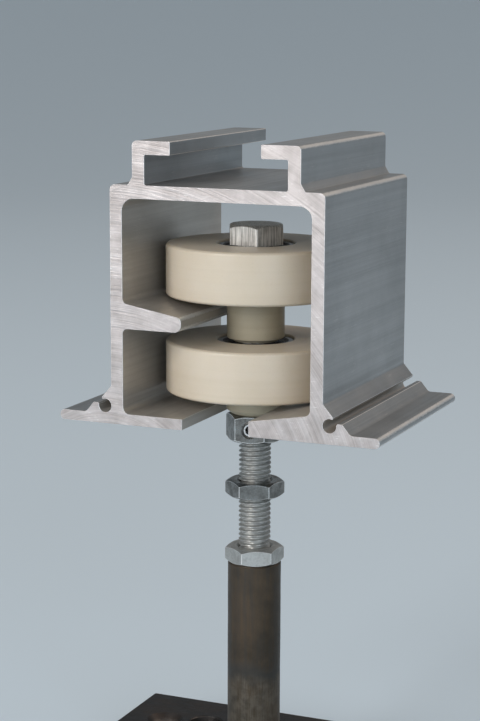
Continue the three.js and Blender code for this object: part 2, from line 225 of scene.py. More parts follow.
def corner_wear(angles: Array, flats: float, turn: float, width: float) -> Array:
    """How near each angle is to one of a hexagon's corners, as a bell that is 1 at the corner.

    Args:
        angles: The angles, in radians.
        flats: The size across flats, in millimetres.
        turn: The angle of one corner, in radians.
        width: The bell's width along the side, in millimetres.

    Returns:
        The nearness at each angle, from 0 to 1.
    """
    corner = math.pi / 3.0
    away = np.abs((angles - turn + corner / 2.0) % corner - corner / 2.0)
    return np.exp(-((away * flats / 2.0 / width) ** 2))


def lathe(profile: Array, angles: Array) -> Array:
    """Turns a profile of (radius, z) points about Z.

    Args:
        profile: The points, one row each.
        angles: The angles of the columns.

    Returns:
        A grid of points, one row for each point of the profile.
    """
    radius, height = profile[:, 0, None], profile[:, 1, None]
    x = radius * np.cos(angles)[None]
    y = radius * np.sin(angles)[None]
    return np.stack([x, y, np.broadcast_to(height, x.shape)], axis=-1)


def polar(radius: Array, height: Array, angles: Array) -> Array:
    """Points about Z at radii and heights that may differ from column to column.

    Args:
        radius: The radius of each point, rows by columns.
        height: The height of each point, rows by columns.
        angles: The angles of the columns.

    Returns:
        A grid of points.
    """
    x = radius * np.cos(angles)[None]
    y = radius * np.sin(angles)[None]
    return np.stack([x, y, height], axis=-1)


def ripple(angle: Array, height: Array, seed: int, size: float) -> Array:
    """A smooth unevenness over a cylinder: a sum of a few sines in the angle and the height.

    Args:
        angle: The angle of each point, in radians.
        height: The height of each point, in millimetres.
        seed: The seed of the sines' phases.
        size: The largest height of the unevenness.

    Returns:
        The unevenness at each point.
    """
    draw = np.random.default_rng(seed)
    turns = draw.integers(1, 7, 9)
    waves = draw.uniform(0.05, 0.45, 9)
    phases = draw.uniform(0.0, TAU, 9)
    terms = np.sin(turns * angle[..., None] + waves * height[..., None] + phases)
    return size * terms.mean(axis=-1)


# ------------------------------------------------------------------ meshes


def grid_quads(
    rows: int, columns: int, closed_rows: bool = False, closed_columns: bool = True
) -> Array:
    """The corners of the quads of a grid of points.

    Args:
        rows: The number of rows of points.
        columns: The number of columns of points.
        closed_rows: Whether the last row joins the first.
        closed_columns: Whether the last column joins the first.

    Returns:
        Indices into the points, rows by columns by four.
    """
    row = np.arange(rows if closed_rows else rows - 1)[:, None]
    column = np.arange(columns if closed_columns else columns - 1)[None]
    next_row = (row + 1) % rows * columns
    next_column = (column + 1) % columns
    row = row * columns
    corners = [row + column, row + next_column, next_row + next_column, next_row + column]
    return np.stack(np.broadcast_arrays(*corners), axis=-1)


class Surface:
    """A mesh gathered from grids and flat faces, in millimetres."""

    def __init__(self) -> None:
        """Starts with nothing in it."""
        self.points: list[Array] = []
        self.wear: list[Array] = []
        self.quads: list[Array] = []
        self.quad_slots: list[Array] = []
        self.polygons: list[tuple[list[int], int]] = []
        self.total = 0

    def _keep(self, points: Array, wear: Array | float) -> int:
        """Stores points with their wear and returns the index of the first."""
        first = self.total
        self.points.append(points.reshape(-1, 3))
        count = len(self.points[-1])
        self.wear.append(np.broadcast_to(wear, points.shape[:-1]).reshape(-1).astype(float))
        self.total += count
        return first

    def grid(
        self,
        points: Array,
        wear: Array | float = 0.0,
        slot: Array | int = 0,
        closed_rows: bool = False,
        closed_columns: bool = True,
    ) -> int:
        """Adds a grid of points with a quad between each four.

        Args:
            points: Rows by columns by three.
            wear: The exposure of each point, or one value for all.
            slot: The material of its faces, one for all or one for each column.
            closed_rows: Whether the last row joins the first.
            closed_columns: Whether the last column joins the first.

        Returns:
            The index of the grid's first point.
        """
        first = self._keep(points, wear)
        quads = grid_quads(*points.shape[:2], closed_rows, closed_columns) + first
        self.quads.append(quads.reshape(-1, 4))
        self.quad_slots.append(np.broadcast_to(slot, quads.shape[:2]).reshape(-1))
        return first

    def polygon(self, indices: Sequence[int], slot: int = 0) -> None:
        """Adds one flat face over points that are already there."""
        self.polygons.append((list(indices), slot))

    def build(self, name: str, materials: Sequence[bpy.types.Material]) -> bpy.types.Object:
        """Makes the object: merges doubles, turns the faces outwards and marks sharp edges.

        Args:
            name: The object's name.
            materials: Its materials, in the order of the slots.

        Returns:
            The object, at the origin, with its place in its mesh.
        """
        mesh = bpy.data.meshes.new(name)
        faces = [*np.concatenate(self.quads).tolist(), *(p for p, _ in self.polygons)]
        mesh.from_pydata((np.concatenate(self.points) * MM).tolist(), [], faces)
        slots = np.concatenate([*self.quad_slots, [s for _, s in self.polygons]])
        mesh.polygons.foreach_set("material_index", slots.astype(np.int32))
        layer = mesh.attributes.new("wear", "FLOAT", "POINT")
        layer.data.foreach_set("value", np.concatenate(self.wear).astype(np.float32))
        made = bmesh.new()
        made.from_mesh(mesh)
        bmesh.ops.remove_doubles(made, verts=made.verts, dist=2e-7)
        bmesh.ops.dissolve_degenerate(made, edges=made.edges, dist=1e-7)
        bmesh.ops.recalc_face_normals(made, faces=made.faces)
        if made.calc_volume(signed=True) < 0.0:
            bmesh.ops.reverse_faces(made, faces=made.faces)
        made.to_mesh(mesh)
        made.free()
        mesh.shade_smooth()
        mesh.set_sharp_from_angle(angle=SHARP_ANGLE)
        for material in materials:
            mesh.materials.append(material)
        piece = bpy.data.objects.new(name, mesh)
        bpy.context.scene.collection.objects.link(piece)
        return piece


def prism(
    surface: Surface,
    outline: Outline,
    place: Callable[[Array, Array], Array],
    span: tuple[float, float],
    chamfer: float,
    fade: float,
    side_slots: Array | int = 0,
    end_slot: int = 0,
) -> None:
    """Adds a bar of an outline, with a small chamfer and a flat face at either end.

    The side is the outline carried along a line; near each end it steps in by the chamfer. The
    wear is full on the chamfer and fades out on the side and on the end face.

    Args:
        surface: The mesh to add it to.
        outline: The bar's section.
        place: Puts section points and their stations along the bar into space.
        span: The stations of the two ends.
        chamfer: The size of the chamfer.
        fade: How far the wear reaches from the edge.
        side_slots: The material of the side, one for all or one for each piece of the outline.
        end_slot: The material of the end faces and their chamfers.
    """
    low, high = span
    ring = outline.points
    small = inward(outline, chamfer)
    inner = inward(outline, chamfer + fade)
    stations = [low + chamfer, low + chamfer + fade, (low + high) / 2.0]
    stations += [high - chamfer - fade, high - chamfer]
    side = np.stack([place(ring, np.full(len(ring), s)) for s in stations])
    exposed = np.array([1.0, 0.0, 0.0, 0.0, 1.0])[:, None]
    surface.grid(side, np.maximum(exposed, outline.wear[None]), slot=side_slots)
    for end, inside in ((low, low + chamfer), (high, high - chamfer)):
        rings = [(ring, inside), (small, end), (inner, end)]
        band = np.stack([place(p, np.full(len(p), s)) for p, s in rings])
        shine = np.array([1.0, 0.9, 0.0])[:, None]
        first = surface.grid(band, shine, slot=end_slot)
        last = first + 2 * len(ring)
        surface.polygon(range(last, last + len(ring)), slot=end_slot)


def cut(piece: bpy.types.Object, tool: bpy.types.Object) -> None:
    """Takes a tool's shape away from a piece and removes the tool.

    Args:
        piece: The object to cut, which gets a new mesh.
        tool: The shape to take away.
    """
    modifier = piece.modifiers.new("cut", "BOOLEAN")
    modifier.operation = "DIFFERENCE"
    modifier.solver = "EXACT"
    modifier.object = tool
    graph = bpy.context.evaluated_depsgraph_get()
    result = bpy.data.meshes.new_from_object(piece.evaluated_get(graph))
    result.set_sharp_from_angle(angle=SHARP_ANGLE)
    piece.modifiers.remove(modifier)
    old = piece.data
    piece.data = result
    bpy.data.meshes.remove(old)
    bpy.data.objects.remove(tool)


# ------------------------------------------------------------------ shader groups


class Tree:
    """Writes nodes into one node tree."""

    def __init__(self, tree: bpy.types.NodeTree) -> None:
        """Takes the tree to write into."""
        self.tree = tree

    def add(
        self, kind: str, inputs: Mapping[str | int, Any] | None = None, **settings: Any
    ) -> bpy.types.Node:
        """Adds a node.

        Args:
            kind: The node's type name.
            inputs: A value or another node's socket for each input.
            settings: The node's own properties.

        Returns:
            The node.
        """
        node = self.tree.nodes.new(kind)
        for key, value in settings.items():
            setattr(node, key, value)
        for key, value in (inputs or {}).items():
            if isinstance(value, bpy.types.NodeSocket):
                self.tree.links.new(value, node.inputs[key])
            else:
                node.inputs[key].default_value = value
        return node

    def math(self, operation: str, *values: Any) -> bpy.types.NodeSocket:
        """Adds a Math node and returns its output."""
        inputs = dict(enumerate(values))
        return self.add("ShaderNodeMath", inputs, operation=operation).outputs[0]

    def vector(self, operation: str, *values: Any) -> bpy.types.NodeSocket:
        """Adds a Vector Math node and returns its first output."""
        inputs = dict(enumerate(values))
        return self.add("ShaderNodeVectorMath", inputs, operation=operation).outputs[0]

    def noise(self, vector: Any, scale: float, detail: float, rough: float = 0.55) -> Any:
        """Adds a Noise Texture and returns its value."""
        inputs = {"Vector": vector, "Scale": scale, "Detail": detail, "Roughness": rough}
        return self.add("ShaderNodeTexNoise", inputs).outputs[0]

    def ramp(self, value: Any, low: Any, high: Any, to_low: Any = 0.0, to_high: Any = 1.0) -> Any:
        """Adds a clamped Map Range with a smooth step and returns its result."""
        inputs = {0: value, 1: low, 2: high, 3: to_low, 4: to_high}
        node = self.add("ShaderNodeMapRange", inputs, interpolation_type="SMOOTHSTEP")
        return node.outputs[0]

    def blend(self, share: Any, first: Any, second: Any, mode: str = "MIX") -> Any:
        """Adds a colour Mix and returns its result."""
        inputs = {0: share, 6: first, 7: second}
        settings = {"data_type": "RGBA", "blend_type": mode, "clamp_factor": True}
        return self.add("ShaderNodeMix", inputs, **settings).outputs[2]


def shader_group(
    name: str,
    inputs: Sequence[tuple[str, str, Any]],
    outputs: Sequence[str],
    write: Callable[[Tree, Mapping[str, Any]], Sequence[Any]],
) -> bpy.types.NodeTree:
    """Makes a node group, or returns it if it is there already.

    Args:
        name: The group's name.
        inputs: (name, type, default) for each input.
        outputs: The name of each output, all of them values.
        write: Writes the nodes, from the inputs by name, and returns the outputs' sockets.

    Returns:
        The group.
    """
    if name in bpy.data.node_groups:
        return bpy.data.node_groups[name]
    group = bpy.data.node_groups.new(name, "ShaderNodeTree")
    for label, kind, default in inputs:
        socket = group.interface.new_socket(label, in_out="INPUT", socket_type=kind)
        if default is not None:
            socket.default_value = default
    for label in outputs:
        group.interface.new_socket(label, in_out="OUTPUT", socket_type="NodeSocketFloat")
    tree = Tree(group)
    entry = tree.add("NodeGroupInput")
    leave = tree.add("NodeGroupOutput")
    named = {label: entry.outputs[label] for label, _, _ in inputs}
    for label, socket in zip(outputs, write(tree, named)):
        group.links.new(socket, leave.inputs[label])
    return group


FLOAT = "NodeSocketFloat"
VECTOR = "NodeSocketVector"


def streak_group() -> bpy.types.NodeTree:
    """Drawn streaks: noise on coordinates that are stretched, wide bands and fine lines apart."""

    def write(tree: Tree, entry: Mapping[str, Any]) -> Sequence[Any]:
        stretched = tree.vector("MULTIPLY", entry["Vector"], entry["Stretch"])
        wide = tree.noise(stretched, 0.16, 3.0)
        fine = tree.noise(stretched, 1.0, 4.0, 0.65)
        low = tree.math("SUBTRACT", 0.5, entry["Spread"])
        high = tree.math("ADD", 0.5, entry["Spread"])
        return tree.ramp(fine, low, high), tree.ramp(wide, low, high)

    inputs = [("Vector", VECTOR, None), ("Stretch", VECTOR, (1, 1, 1)), ("Spread", FLOAT, 0.2)]
    return shader_group("streaks", inputs, ["Fine", "Wide"], write)


def scratch_group() -> bpy.types.NodeTree:
    """Sparse scratches: only the peaks of a strongly stretched noise, broken up by a second."""

    def write(tree: Tree, entry: Mapping[str, Any]) -> Sequence[Any]:
        stretched = tree.vector("MULTIPLY", entry["Vector"], entry["Stretch"])
        lines = tree.ramp(tree.noise(stretched, 1.0, 2.0, 0.4), 0.64, 0.7)
        gaps = tree.ramp(tree.noise(entry["Vector"], 0.12, 2.0), 0.46, 0.6)
        return [tree.math("MULTIPLY", tree.math("MULTIPLY", lines, gaps), entry["Amount"])]

    inputs = [("Vector", VECTOR, None), ("Stretch", VECTOR, (1, 1, 1)), ("Amount", FLOAT, 1.0)]
    return shader_group("scratches", inputs, ["Mask"], write)


def edge_group() -> bpy.types.NodeTree:
    """Worn edges: the exposure of the surface, broken up by noise."""

    def write(tree: Tree, entry: Mapping[str, Any]) -> Sequence[Any]:
        broken = tree.noise(entry["Vector"], entry["Scale"], 3.0)
        spread = tree.math("MULTIPLY", tree.math("SUBTRACT", broken, 0.5), 0.9)
        summed = tree.math("ADD", entry["Exposure"], spread)
        return [tree.ramp(summed, entry["From"], 0.95)]

    inputs = [
        ("Vector", VECTOR, None),
        ("Exposure", FLOAT, 0.0),
        ("Scale", FLOAT, 2.0),
        ("From", FLOAT, 0.4),
    ]
    return shader_group("worn_edge", inputs, ["Mask"], write)


def blotch_group() -> bpy.types.NodeTree:
    """Soft blotches and small specks over a surface."""

    def write(tree: Tree, entry: Mapping[str, Any]) -> Sequence[Any]:
        cloud = tree.ramp(tree.noise(entry["Vector"], entry["Scale"], 5.0, 0.6), 0.36, 0.66)
        fine_scale = tree.math("MULTIPLY", entry["Scale"], 14.0)
        inputs = {"Vector": entry["Vector"], "Scale": fine_scale, "Randomness": 1.0}
        cells = tree.add("ShaderNodeTexVoronoi", inputs, feature="F1").outputs["Distance"]
        return cloud, tree.ramp(cells, 0.22, 0.08)

    inputs = [("Vector", VECTOR, None), ("Scale", FLOAT, 0.08)]
    return shader_group("blotches", inputs, ["Cloud", "Specks"], write)


def turning_group() -> bpy.types.NodeTree:
    """Lathe marks: noise that changes only with the distance from the axis and with the height."""

    def write(tree: Tree, entry: Mapping[str, Any]) -> Sequence[Any]:
        flat = tree.vector("MULTIPLY", entry["Vector"], (1.0, 1.0, 0.0))
        length = tree.add("ShaderNodeVectorMath", {0: flat}, operation="LENGTH")
        parts = tree.add("ShaderNodeSeparateXYZ", {0: entry["Vector"]})
        inputs = {0: length.outputs["Value"], 1: parts.outputs[2], 2: 0.0}
        joined = tree.add("ShaderNodeCombineXYZ", inputs).outputs[0]
        fine = tree.noise(joined, entry["Scale"], 3.0, 0.7)
        wide = tree.noise(joined, tree.math("MULTIPLY", entry["Scale"], 0.12), 2.0)
        return tree.ramp(fine, 0.3, 0.7), tree.ramp(wide, 0.35, 0.65)

    inputs = [("Vector", VECTOR, None), ("Scale", FLOAT, 4.0)]
    return shader_group("turning", inputs, ["Fine", "Wide"], write)


def tint_and_painted_reflection_group() -> bpy.types.NodeTree:
    """A band at a height, and everything below it: heat tint on the weld, and on the post a painted
    bluish reflection.
    """

    def write(tree: Tree, entry: Mapping[str, Any]) -> Sequence[Any]:
        parts = tree.add("ShaderNodeSeparateXYZ", {0: entry["Vector"]})
        sway = tree.math("SUBTRACT", tree.noise(entry["Vector"], 0.09, 4.0), 0.5)
        height = tree.math("MULTIPLY_ADD", sway, 16.0, parts.outputs[2])
        above = tree.math("SUBTRACT", height, entry["Height"])
        ring = tree.ramp(tree.math("ABSOLUTE", above), entry["Width"], 0.0)
        return ring, tree.ramp(above, entry["Width"], tree.math("MULTIPLY", entry["Width"], -1.0))

    inputs = [("Vector", VECTOR, None), ("Height", FLOAT, 60.0), ("Width", FLOAT, 6.0)]
    return shader_group("tint_and_painted_reflection", inputs, ["Ring", "Below"], write)


def saw_group() -> bpy.types.NodeTree:
    """Saw marks: noise along the distance from the middle of a blade far below, so its lines are
    long arcs, with a wider unevenness from the blade's wander."""

    def write(tree: Tree, entry: Mapping[str, Any]) -> Sequence[Any]:
        offset = tree.vector("SUBTRACT", entry["Vector"], entry["Blade"])
        flat = tree.vector("MULTIPLY", offset, (1.0, 0.0, 1.0))
        length = tree.add("ShaderNodeVectorMath", {0: flat}, operation="LENGTH")
        parts = tree.add("ShaderNodeSeparateXYZ", {0: entry["Vector"]})
        along = tree.math("MULTIPLY", parts.outputs[0], 0.02)
        joined = tree.add("ShaderNodeCombineXYZ", {0: length.outputs["Value"], 1: along})
        fine = tree.noise(joined.outputs[0], 1.7, 4.0, 0.65)
        wide = tree.noise(joined.outputs[0], 0.3, 2.0)
        return tree.ramp(fine, 0.28, 0.72), tree.ramp(wide, 0.3, 0.7)

    inputs = [("Vector", VECTOR, None), ("Blade", VECTOR, (-40.0, 0.0, 126.0))]
    return shader_group("saw_marks", inputs, ["Fine", "Wide"], write)


# ------------------------------------------------------------------ finishes


Colour = tuple[float, float, float]


class Dresser:
    """A new material with its Principled shader, its coordinates in millimetres and its wear."""

    def __init__(self, name: str) -> None:
        """Makes the material and the nodes that every finish starts from."""
        self.material = bpy.data.materials.new(name)
        self.material.use_nodes = True
        nodes = self.material.node_tree
        nodes.nodes.clear()
        self.tree = Tree(nodes)
        self.shader = self.tree.add("ShaderNodeBsdfPrincipled")
        output = self.tree.add("ShaderNodeOutputMaterial")
        nodes.links.new(self.shader.outputs[0], output.inputs[0])
        place = self.tree.add("ShaderNodeTexCoord").outputs["Object"]
        self.place = self.tree.vector("MULTIPLY", place, (1.0 / MM, 1.0 / MM, 1.0 / MM))
        wear = self.tree.add("ShaderNodeAttribute", attribute_name="wear")
        self.wear = wear.outputs["Fac"]

    def group(self, group: bpy.types.NodeTree, **values: Any) -> bpy.types.Node:
        """Places a shared group, its inputs given by name with _ for a space."""
        inputs = {key.replace("_", " "): value for key, value in values.items()}
        inputs["Vector"] = self.place
        return self.tree.add("ShaderNodeGroup", inputs, node_tree=group)

    def mix(self, *shares: tuple[Any, float]) -> bpy.types.NodeSocket:
        """Adds masks up, each times its share."""
        total = self.tree.math("MULTIPLY", *shares[0])
        for mask, share in shares[1:]:
            total = self.tree.math("MULTIPLY_ADD", mask, share, total)
        return total

    def set(self, **values: Any) -> None:
        """Sets or links the shader's sockets, named with _ for a space."""
        for key, value in values.items():
            socket = self.shader.inputs[key.replace("_", " ")]
            if isinstance(value, bpy.types.NodeSocket):
                self.tree.tree.links.new(value, socket)
            else:
                socket.default_value = value

    def bump(self, height: Any, distance_mm: float, strength: float = 1.0) -> None:
        """Feeds a height into the shader's normal."""
        inputs = {"Height": height, "Distance": distance_mm * MM, "Strength": strength}
        self.set(Normal=self.tree.add("ShaderNodeBump", inputs).outputs[0])


def rgba(colour: Colour) -> tuple[float, float, float, float]:
    """A colour with full alpha."""
    return (*colour, 1.0)


@dataclass(frozen=True)
class ExtrudedAluminium:
    """Mill-finish aluminium as it leaves the die: dull, with long lines along its length."""

    name: str
    colour: Colour
    dark: Colour
    bright: Colour = (0.8, 0.79, 0.77)
    roughness: tuple[float, float] = (0.36, 0.46)
    metallic: float = 0.88
    stretch: tuple[float, float, float] = (2.2, 0.01, 2.2)
    line_depth: float = 0.045

    def material(self) -> bpy.types.Material:
        """Makes the material."""
        made = Dresser(self.name)
        tree = made.tree
        lines = made.group(streak_group(), Stretch=self.stretch, Spread=0.22)
        cloud = made.group(blotch_group(), Scale=0.06)
        smudge = made.group(blotch_group(), Scale=0.017)
        scratch = made.group(scratch_group(), Stretch=(0.9, 0.16, 2.2), Amount=0.16)
        edge = made.group(edge_group(), Exposure=made.wear, Scale=1.3, From=0.4)
        fine, wide = lines.outputs["Fine"], lines.outputs["Wide"]
        tint = made.mix((wide, 0.3), (fine, 0.2), (smudge.outputs["Cloud"], 0.45))
        colour = tree.blend(tint, rgba(self.colour), rgba(self.dark))
        specks = made.mix((cloud.outputs["Specks"], 0.12), (scratch.outputs[0], 1.0))
        colour = tree.blend(specks, colour, rgba(self.bright))
        colour = tree.blend(edge.outputs[0], colour, rgba(self.bright))
        low, high = self.roughness
        rough = tree.ramp(made.mix((wide, 0.5), (cloud.outputs["Cloud"], 0.5)), 0.0, 1.0, low, high)
        made.set(Base_Color=colour, Metallic=self.metallic, Roughness=rough)
        made.bump(made.mix((wide, 1.0), (fine, 0.35)), self.line_depth)
        return made.material


@dataclass(frozen=True)
class SawnAluminium:
    """Aluminium fresh from the saw: pale, with the blade's arcs across it."""

    name: str
    colour: Colour = (0.68, 0.63, 0.62)
    dark: Colour = (0.34, 0.305, 0.295)
    bright: Colour = (0.95, 0.93, 0.92)

    def material(self) -> bpy.types.Material:
        """Makes the material."""
        made = Dresser(self.name)
        tree = made.tree
        marks = made.group(saw_group())
        fine, wide = marks.outputs["Fine"], marks.outputs["Wide"]
        cloud = made.group(blotch_group(), Scale=0.12)
        scratch = made.group(scratch_group(), Stretch=(0.35, 1.0, 2.6), Amount=0.5)
        edge = made.group(edge_group(), Exposure=made.wear, Scale=0.5, From=0.6)
        shade = made.mix((fine, 0.4), (wide, 0.25), (cloud.outputs["Cloud"], 0.35))
        colour = tree.blend(shade, rgba(self.dark), rgba(self.colour))
        colour = tree.blend(scratch.outputs[0], colour, rgba(self.bright))
        colour = tree.blend(edge.outputs[0], colour, rgba(self.bright))
        rough = tree.ramp(wide, 0.0, 1.0, 0.46, 0.38)
        made.set(Base_Color=colour, Metallic=0.88, Roughness=rough)
        made.bump(fine, 0.03)
        return made.material


@dataclass(frozen=True)
class TurnedNylon:
    """Cast nylon that was turned on a lathe: waxy, with faint rings and a little soiling."""

    name: str
    colour: Colour
    shade: Colour
    soiled: Colour
    roughness: float = 0.34
    subsurface: float = 0.18

    def material(self) -> bpy.types.Material:
        """Makes the material."""
        made = Dresser(self.name)
        tree = made.tree
        rings = made.group(turning_group(), Scale=5.0)
        cloud = made.group(blotch_group(), Scale=0.06)
        scuff = made.group(scratch_group(), Stretch=(0.9, 0.9, 0.12), Amount=0.35)
        edge = made.group(edge_group(), Exposure=made.wear, Scale=0.9, From=0.5)
        tint = made.mix((rings.outputs["Wide"], 0.35), (cloud.outputs["Cloud"], 0.4))
        colour = tree.blend(tint, rgba(self.colour), rgba(self.shade))
        soil = made.mix((cloud.outputs["Specks"], 0.1), (edge.outputs[0], 0.22))
        colour = tree.blend(soil, colour, rgba(self.soiled))
        colour = tree.blend(scuff.outputs[0], colour, rgba(self.shade))
        rough = tree.ramp(rings.outputs["Fine"], 0.0, 1.0, self.roughness, self.roughness + 0.14)
        made.set(Base_Color=colour, Roughness=rough, IOR=1.53)
        made.set(Subsurface_Weight=self.subsurface, Subsurface_Radius=(1.0, 0.7, 0.4))
        made.set(Subsurface_Scale=0.0012)
        made.bump(rings.outputs["Fine"], 0.008)
        return made.material


class Lay(Enum):
    """Which way the fine lines of a metal run."""

    UPRIGHT = (3.0, 3.0, 0.12)
    COARSE_UPRIGHT = (1.7, 1.7, 0.07)
    ROUND = (0.25, 0.25, 6.0)
    ROLLED = (0.25, 2.4, 2.4)
    EVEN = (1.4, 1.4, 1.4)


@dataclass(frozen=True)
class PlatedSteel:
    """Steel with a thin bright plate, or ground bright: fine lines, dull spots and bare edges."""

    name: str
    colour: Colour
    dull: Colour
    edge: Colour
    lay: Lay = Lay.EVEN
    line_share: float = 0.35
    roughness: tuple[float, float] = (0.26, 0.42)
    depth: float = 0.006
    metallic: float = 1.0

    def material(self) -> bpy.types.Material:
        """Makes the material."""
        made = Dresser(self.name)
        tree = made.tree
        fine = made.group(streak_group(), Stretch=self.lay.value, Spread=0.16).outputs["Fine"]
        cloud = made.group(blotch_group(), Scale=0.22)
        edge = made.group(edge_group(), Exposure=made.wear, Scale=2.4, From=0.45)
        tint = made.mix((fine, self.line_share), (cloud.outputs["Cloud"], 1.0 - self.line_share))
        colour = tree.blend(tint, rgba(self.colour), rgba(self.dull))
        spots = tree.math("MULTIPLY", cloud.outputs["Specks"], 0.4)
        colour = tree.blend(spots, colour, rgba(self.dull))
        colour = tree.blend(edge.outputs[0], colour, rgba(self.edge))
        low, high = self.roughness
        rough = tree.ramp(tint, 0.0, 1.0, low, high)
        made.set(Base_Color=colour, Metallic=self.metallic, Roughness=rough)
        made.bump(fine, self.depth)
        return made.material


@dataclass(frozen=True)
class RawSteel:
    """Bare hot-rolled steel: dark scale, brown and blue tints, rubbed lines and bright edges.

    Attributes:
        tint_and_reflection_band: The height and the width of a band and of the paler mottle below it,
            in millimetres: heat tint on the weld, a painted bluish reflection on the post.
    """

    name: str
    colour: Colour
    brown: Colour
    blue: Colour
    bright: Colour
    pale: Colour
    lay: Lay = Lay.UPRIGHT
    tint_and_reflection_band: tuple[float, float] = (-100.0, 1.0)
    bare_edge: float = 0.6

    def material(self) -> bpy.types.Material:
        """Makes the material."""
        made = Dresser(self.name)
        tree = made.tree
        lines = made.group(streak_group(), Stretch=self.lay.value, Spread=0.2)
        fine, wide = lines.outputs["Fine"], lines.outputs["Wide"]
        cloud = made.group(blotch_group(), Scale=0.06)
        small = made.group(blotch_group(), Scale=0.3)
        height, width = self.tint_and_reflection_band
        tint_and_reflection_band = made.group(tint_and_painted_reflection_group(), Height=height, Width=width)
        edge = made.group(edge_group(), Exposure=made.wear, Scale=1.4, From=0.5)
        colour = tree.blend(cloud.outputs["Cloud"], rgba(self.colour), rgba(self.brown))
        colour = tree.blend(made.mix((wide, 0.45), (fine, 0.3)), colour, rgba(self.blue))
        # Paler mottle only below the band, so that the post is darker above the band, toward its top.
        scale = made.mix((small.outputs["Cloud"], 0.35), (fine, 0.4))
        mottle = tree.math("MULTIPLY", scale, tint_and_reflection_band.outputs["Below"])
        colour = tree.blend(mottle, colour, rgba(self.pale))
        # The band: heat tint on the weld, a painted bluish reflection on the post.
        colour = tree.blend(tree.math("MULTIPLY", tint_and_reflection_band.outputs["Ring"], 0.75), colour, rgba(self.blue))
        pits = tree.math("MULTIPLY", small.outputs["Specks"], 0.35)
        colour = tree.blend(pits, colour, rgba(self.brown))
        bare = tree.math("MULTIPLY", edge.outputs[0], self.bare_edge)
        colour = tree.blend(bare, colour, rgba(self.bright))
        uneven = made.mix((cloud.outputs["Cloud"], 0.3), (fine, 0.4), (small.outputs["Cloud"], 0.3))
        rough = tree.ramp(uneven, 0.0, 1.0, 0.44, 0.56)
        made.set(Base_Color=colour, Metallic=0.8, Roughness=rough)
        made.bump(made.mix((fine, 0.6), (small.outputs["Cloud"], 0.8)), 0.03)
        return made.material


@dataclass(frozen=True)
class Rubber:
    """Matt black rubber with a little grey bloom."""

    name: str
    colour: Colour = (0.012, 0.012, 0.013)
    bloom: Colour = (0.05, 0.05, 0.052)

    def material(self) -> bpy.types.Material:
        """Makes the material."""
        made = Dresser(self.name)
        tree = made.tree
        rings = made.group(turning_group(), Scale=2.5)
        cloud = made.group(blotch_group(), Scale=0.3)
        tint = tree.math("MULTIPLY", cloud.outputs["Cloud"], 0.5)
        colour = tree.blend(tint, rgba(self.colour), rgba(self.bloom))
        rough = tree.ramp(rings.outputs["Fine"], 0.0, 1.0, 0.45, 0.65)
        made.set(Base_Color=colour, Roughness=rough)
        made.bump(rings.outputs["Fine"], 0.02)
        return made.material


@dataclass(frozen=True)
class Finishes:
    """Every material of the object, made once."""

    extruded: bpy.types.Material
    inside_painted_light: bpy.types.Material
    sawn: bpy.types.Material
    wheel: bpy.types.Material
    spacer: bpy.types.Material
    zinc: bpy.types.Material
    painted_shade_zinc: bpy.types.Material
    bolt_head_painted_light: bpy.types.Material
    pin: bpy.types.Material
    ring: bpy.types.Material
    cage: bpy.types.Material
    seal: bpy.types.Material
    post: bpy.types.Material
    plate: bpy.types.Material
    weld: bpy.types.Material


def aluminium_finishes() -> dict[str, bpy.types.Material]:
    """The track's outside, its inside, which is a paler, warmer and less metallic copy with painted
    bounced light, and its sawn ends.
    """
    outside = ExtrudedAluminium("extruded_aluminium", (0.45, 0.465, 0.475), (0.28, 0.295, 0.305))
    # The inside copy is paler, warmer and less metallic than the outside: painted bounced light in the
    # slot and the ports.
    inside = ExtrudedAluminium(
        "inside_aluminium_painted_light", (0.57, 0.54, 0.5), (0.39, 0.365, 0.335), metallic=0.65
    )
    return {
        "extruded": outside.material(),
        "inside_painted_light": inside.material(),
        "sawn": SawnAluminium("sawn_aluminium").material(),
    }


def nylon_finishes() -> dict[str, bpy.types.Material]:
    """The wheels' cream nylon, the spacers' darker beige, partly painted shade between the wheels, and
    the bearings' brown cages.
    """
    cream = TurnedNylon(
        "cream_nylon", (0.62, 0.54, 0.435), shade=(0.57, 0.49, 0.38), soiled=(0.3, 0.25, 0.19)
    )
    # Darker than the wheels' cream: partly the spacers' own beige, partly painted shade between the
    # wheels.
    beige_and_painted_shade = TurnedNylon(
        "beige_nylon_and_painted_shade",
        (0.43, 0.38, 0.28),
        shade=(0.37, 0.32, 0.23),
        soiled=(0.16, 0.13, 0.1),
        roughness=0.42,
        subsurface=0.05,
    )
    amber = TurnedNylon(
        "bearing_cage", (0.2, 0.1, 0.04), shade=(0.14, 0.07, 0.03), soiled=(0.06, 0.04, 0.02)
    )
    return {"wheel": cream.material(), "spacer": beige_and_painted_shade.material(), "cage": amber.material()}


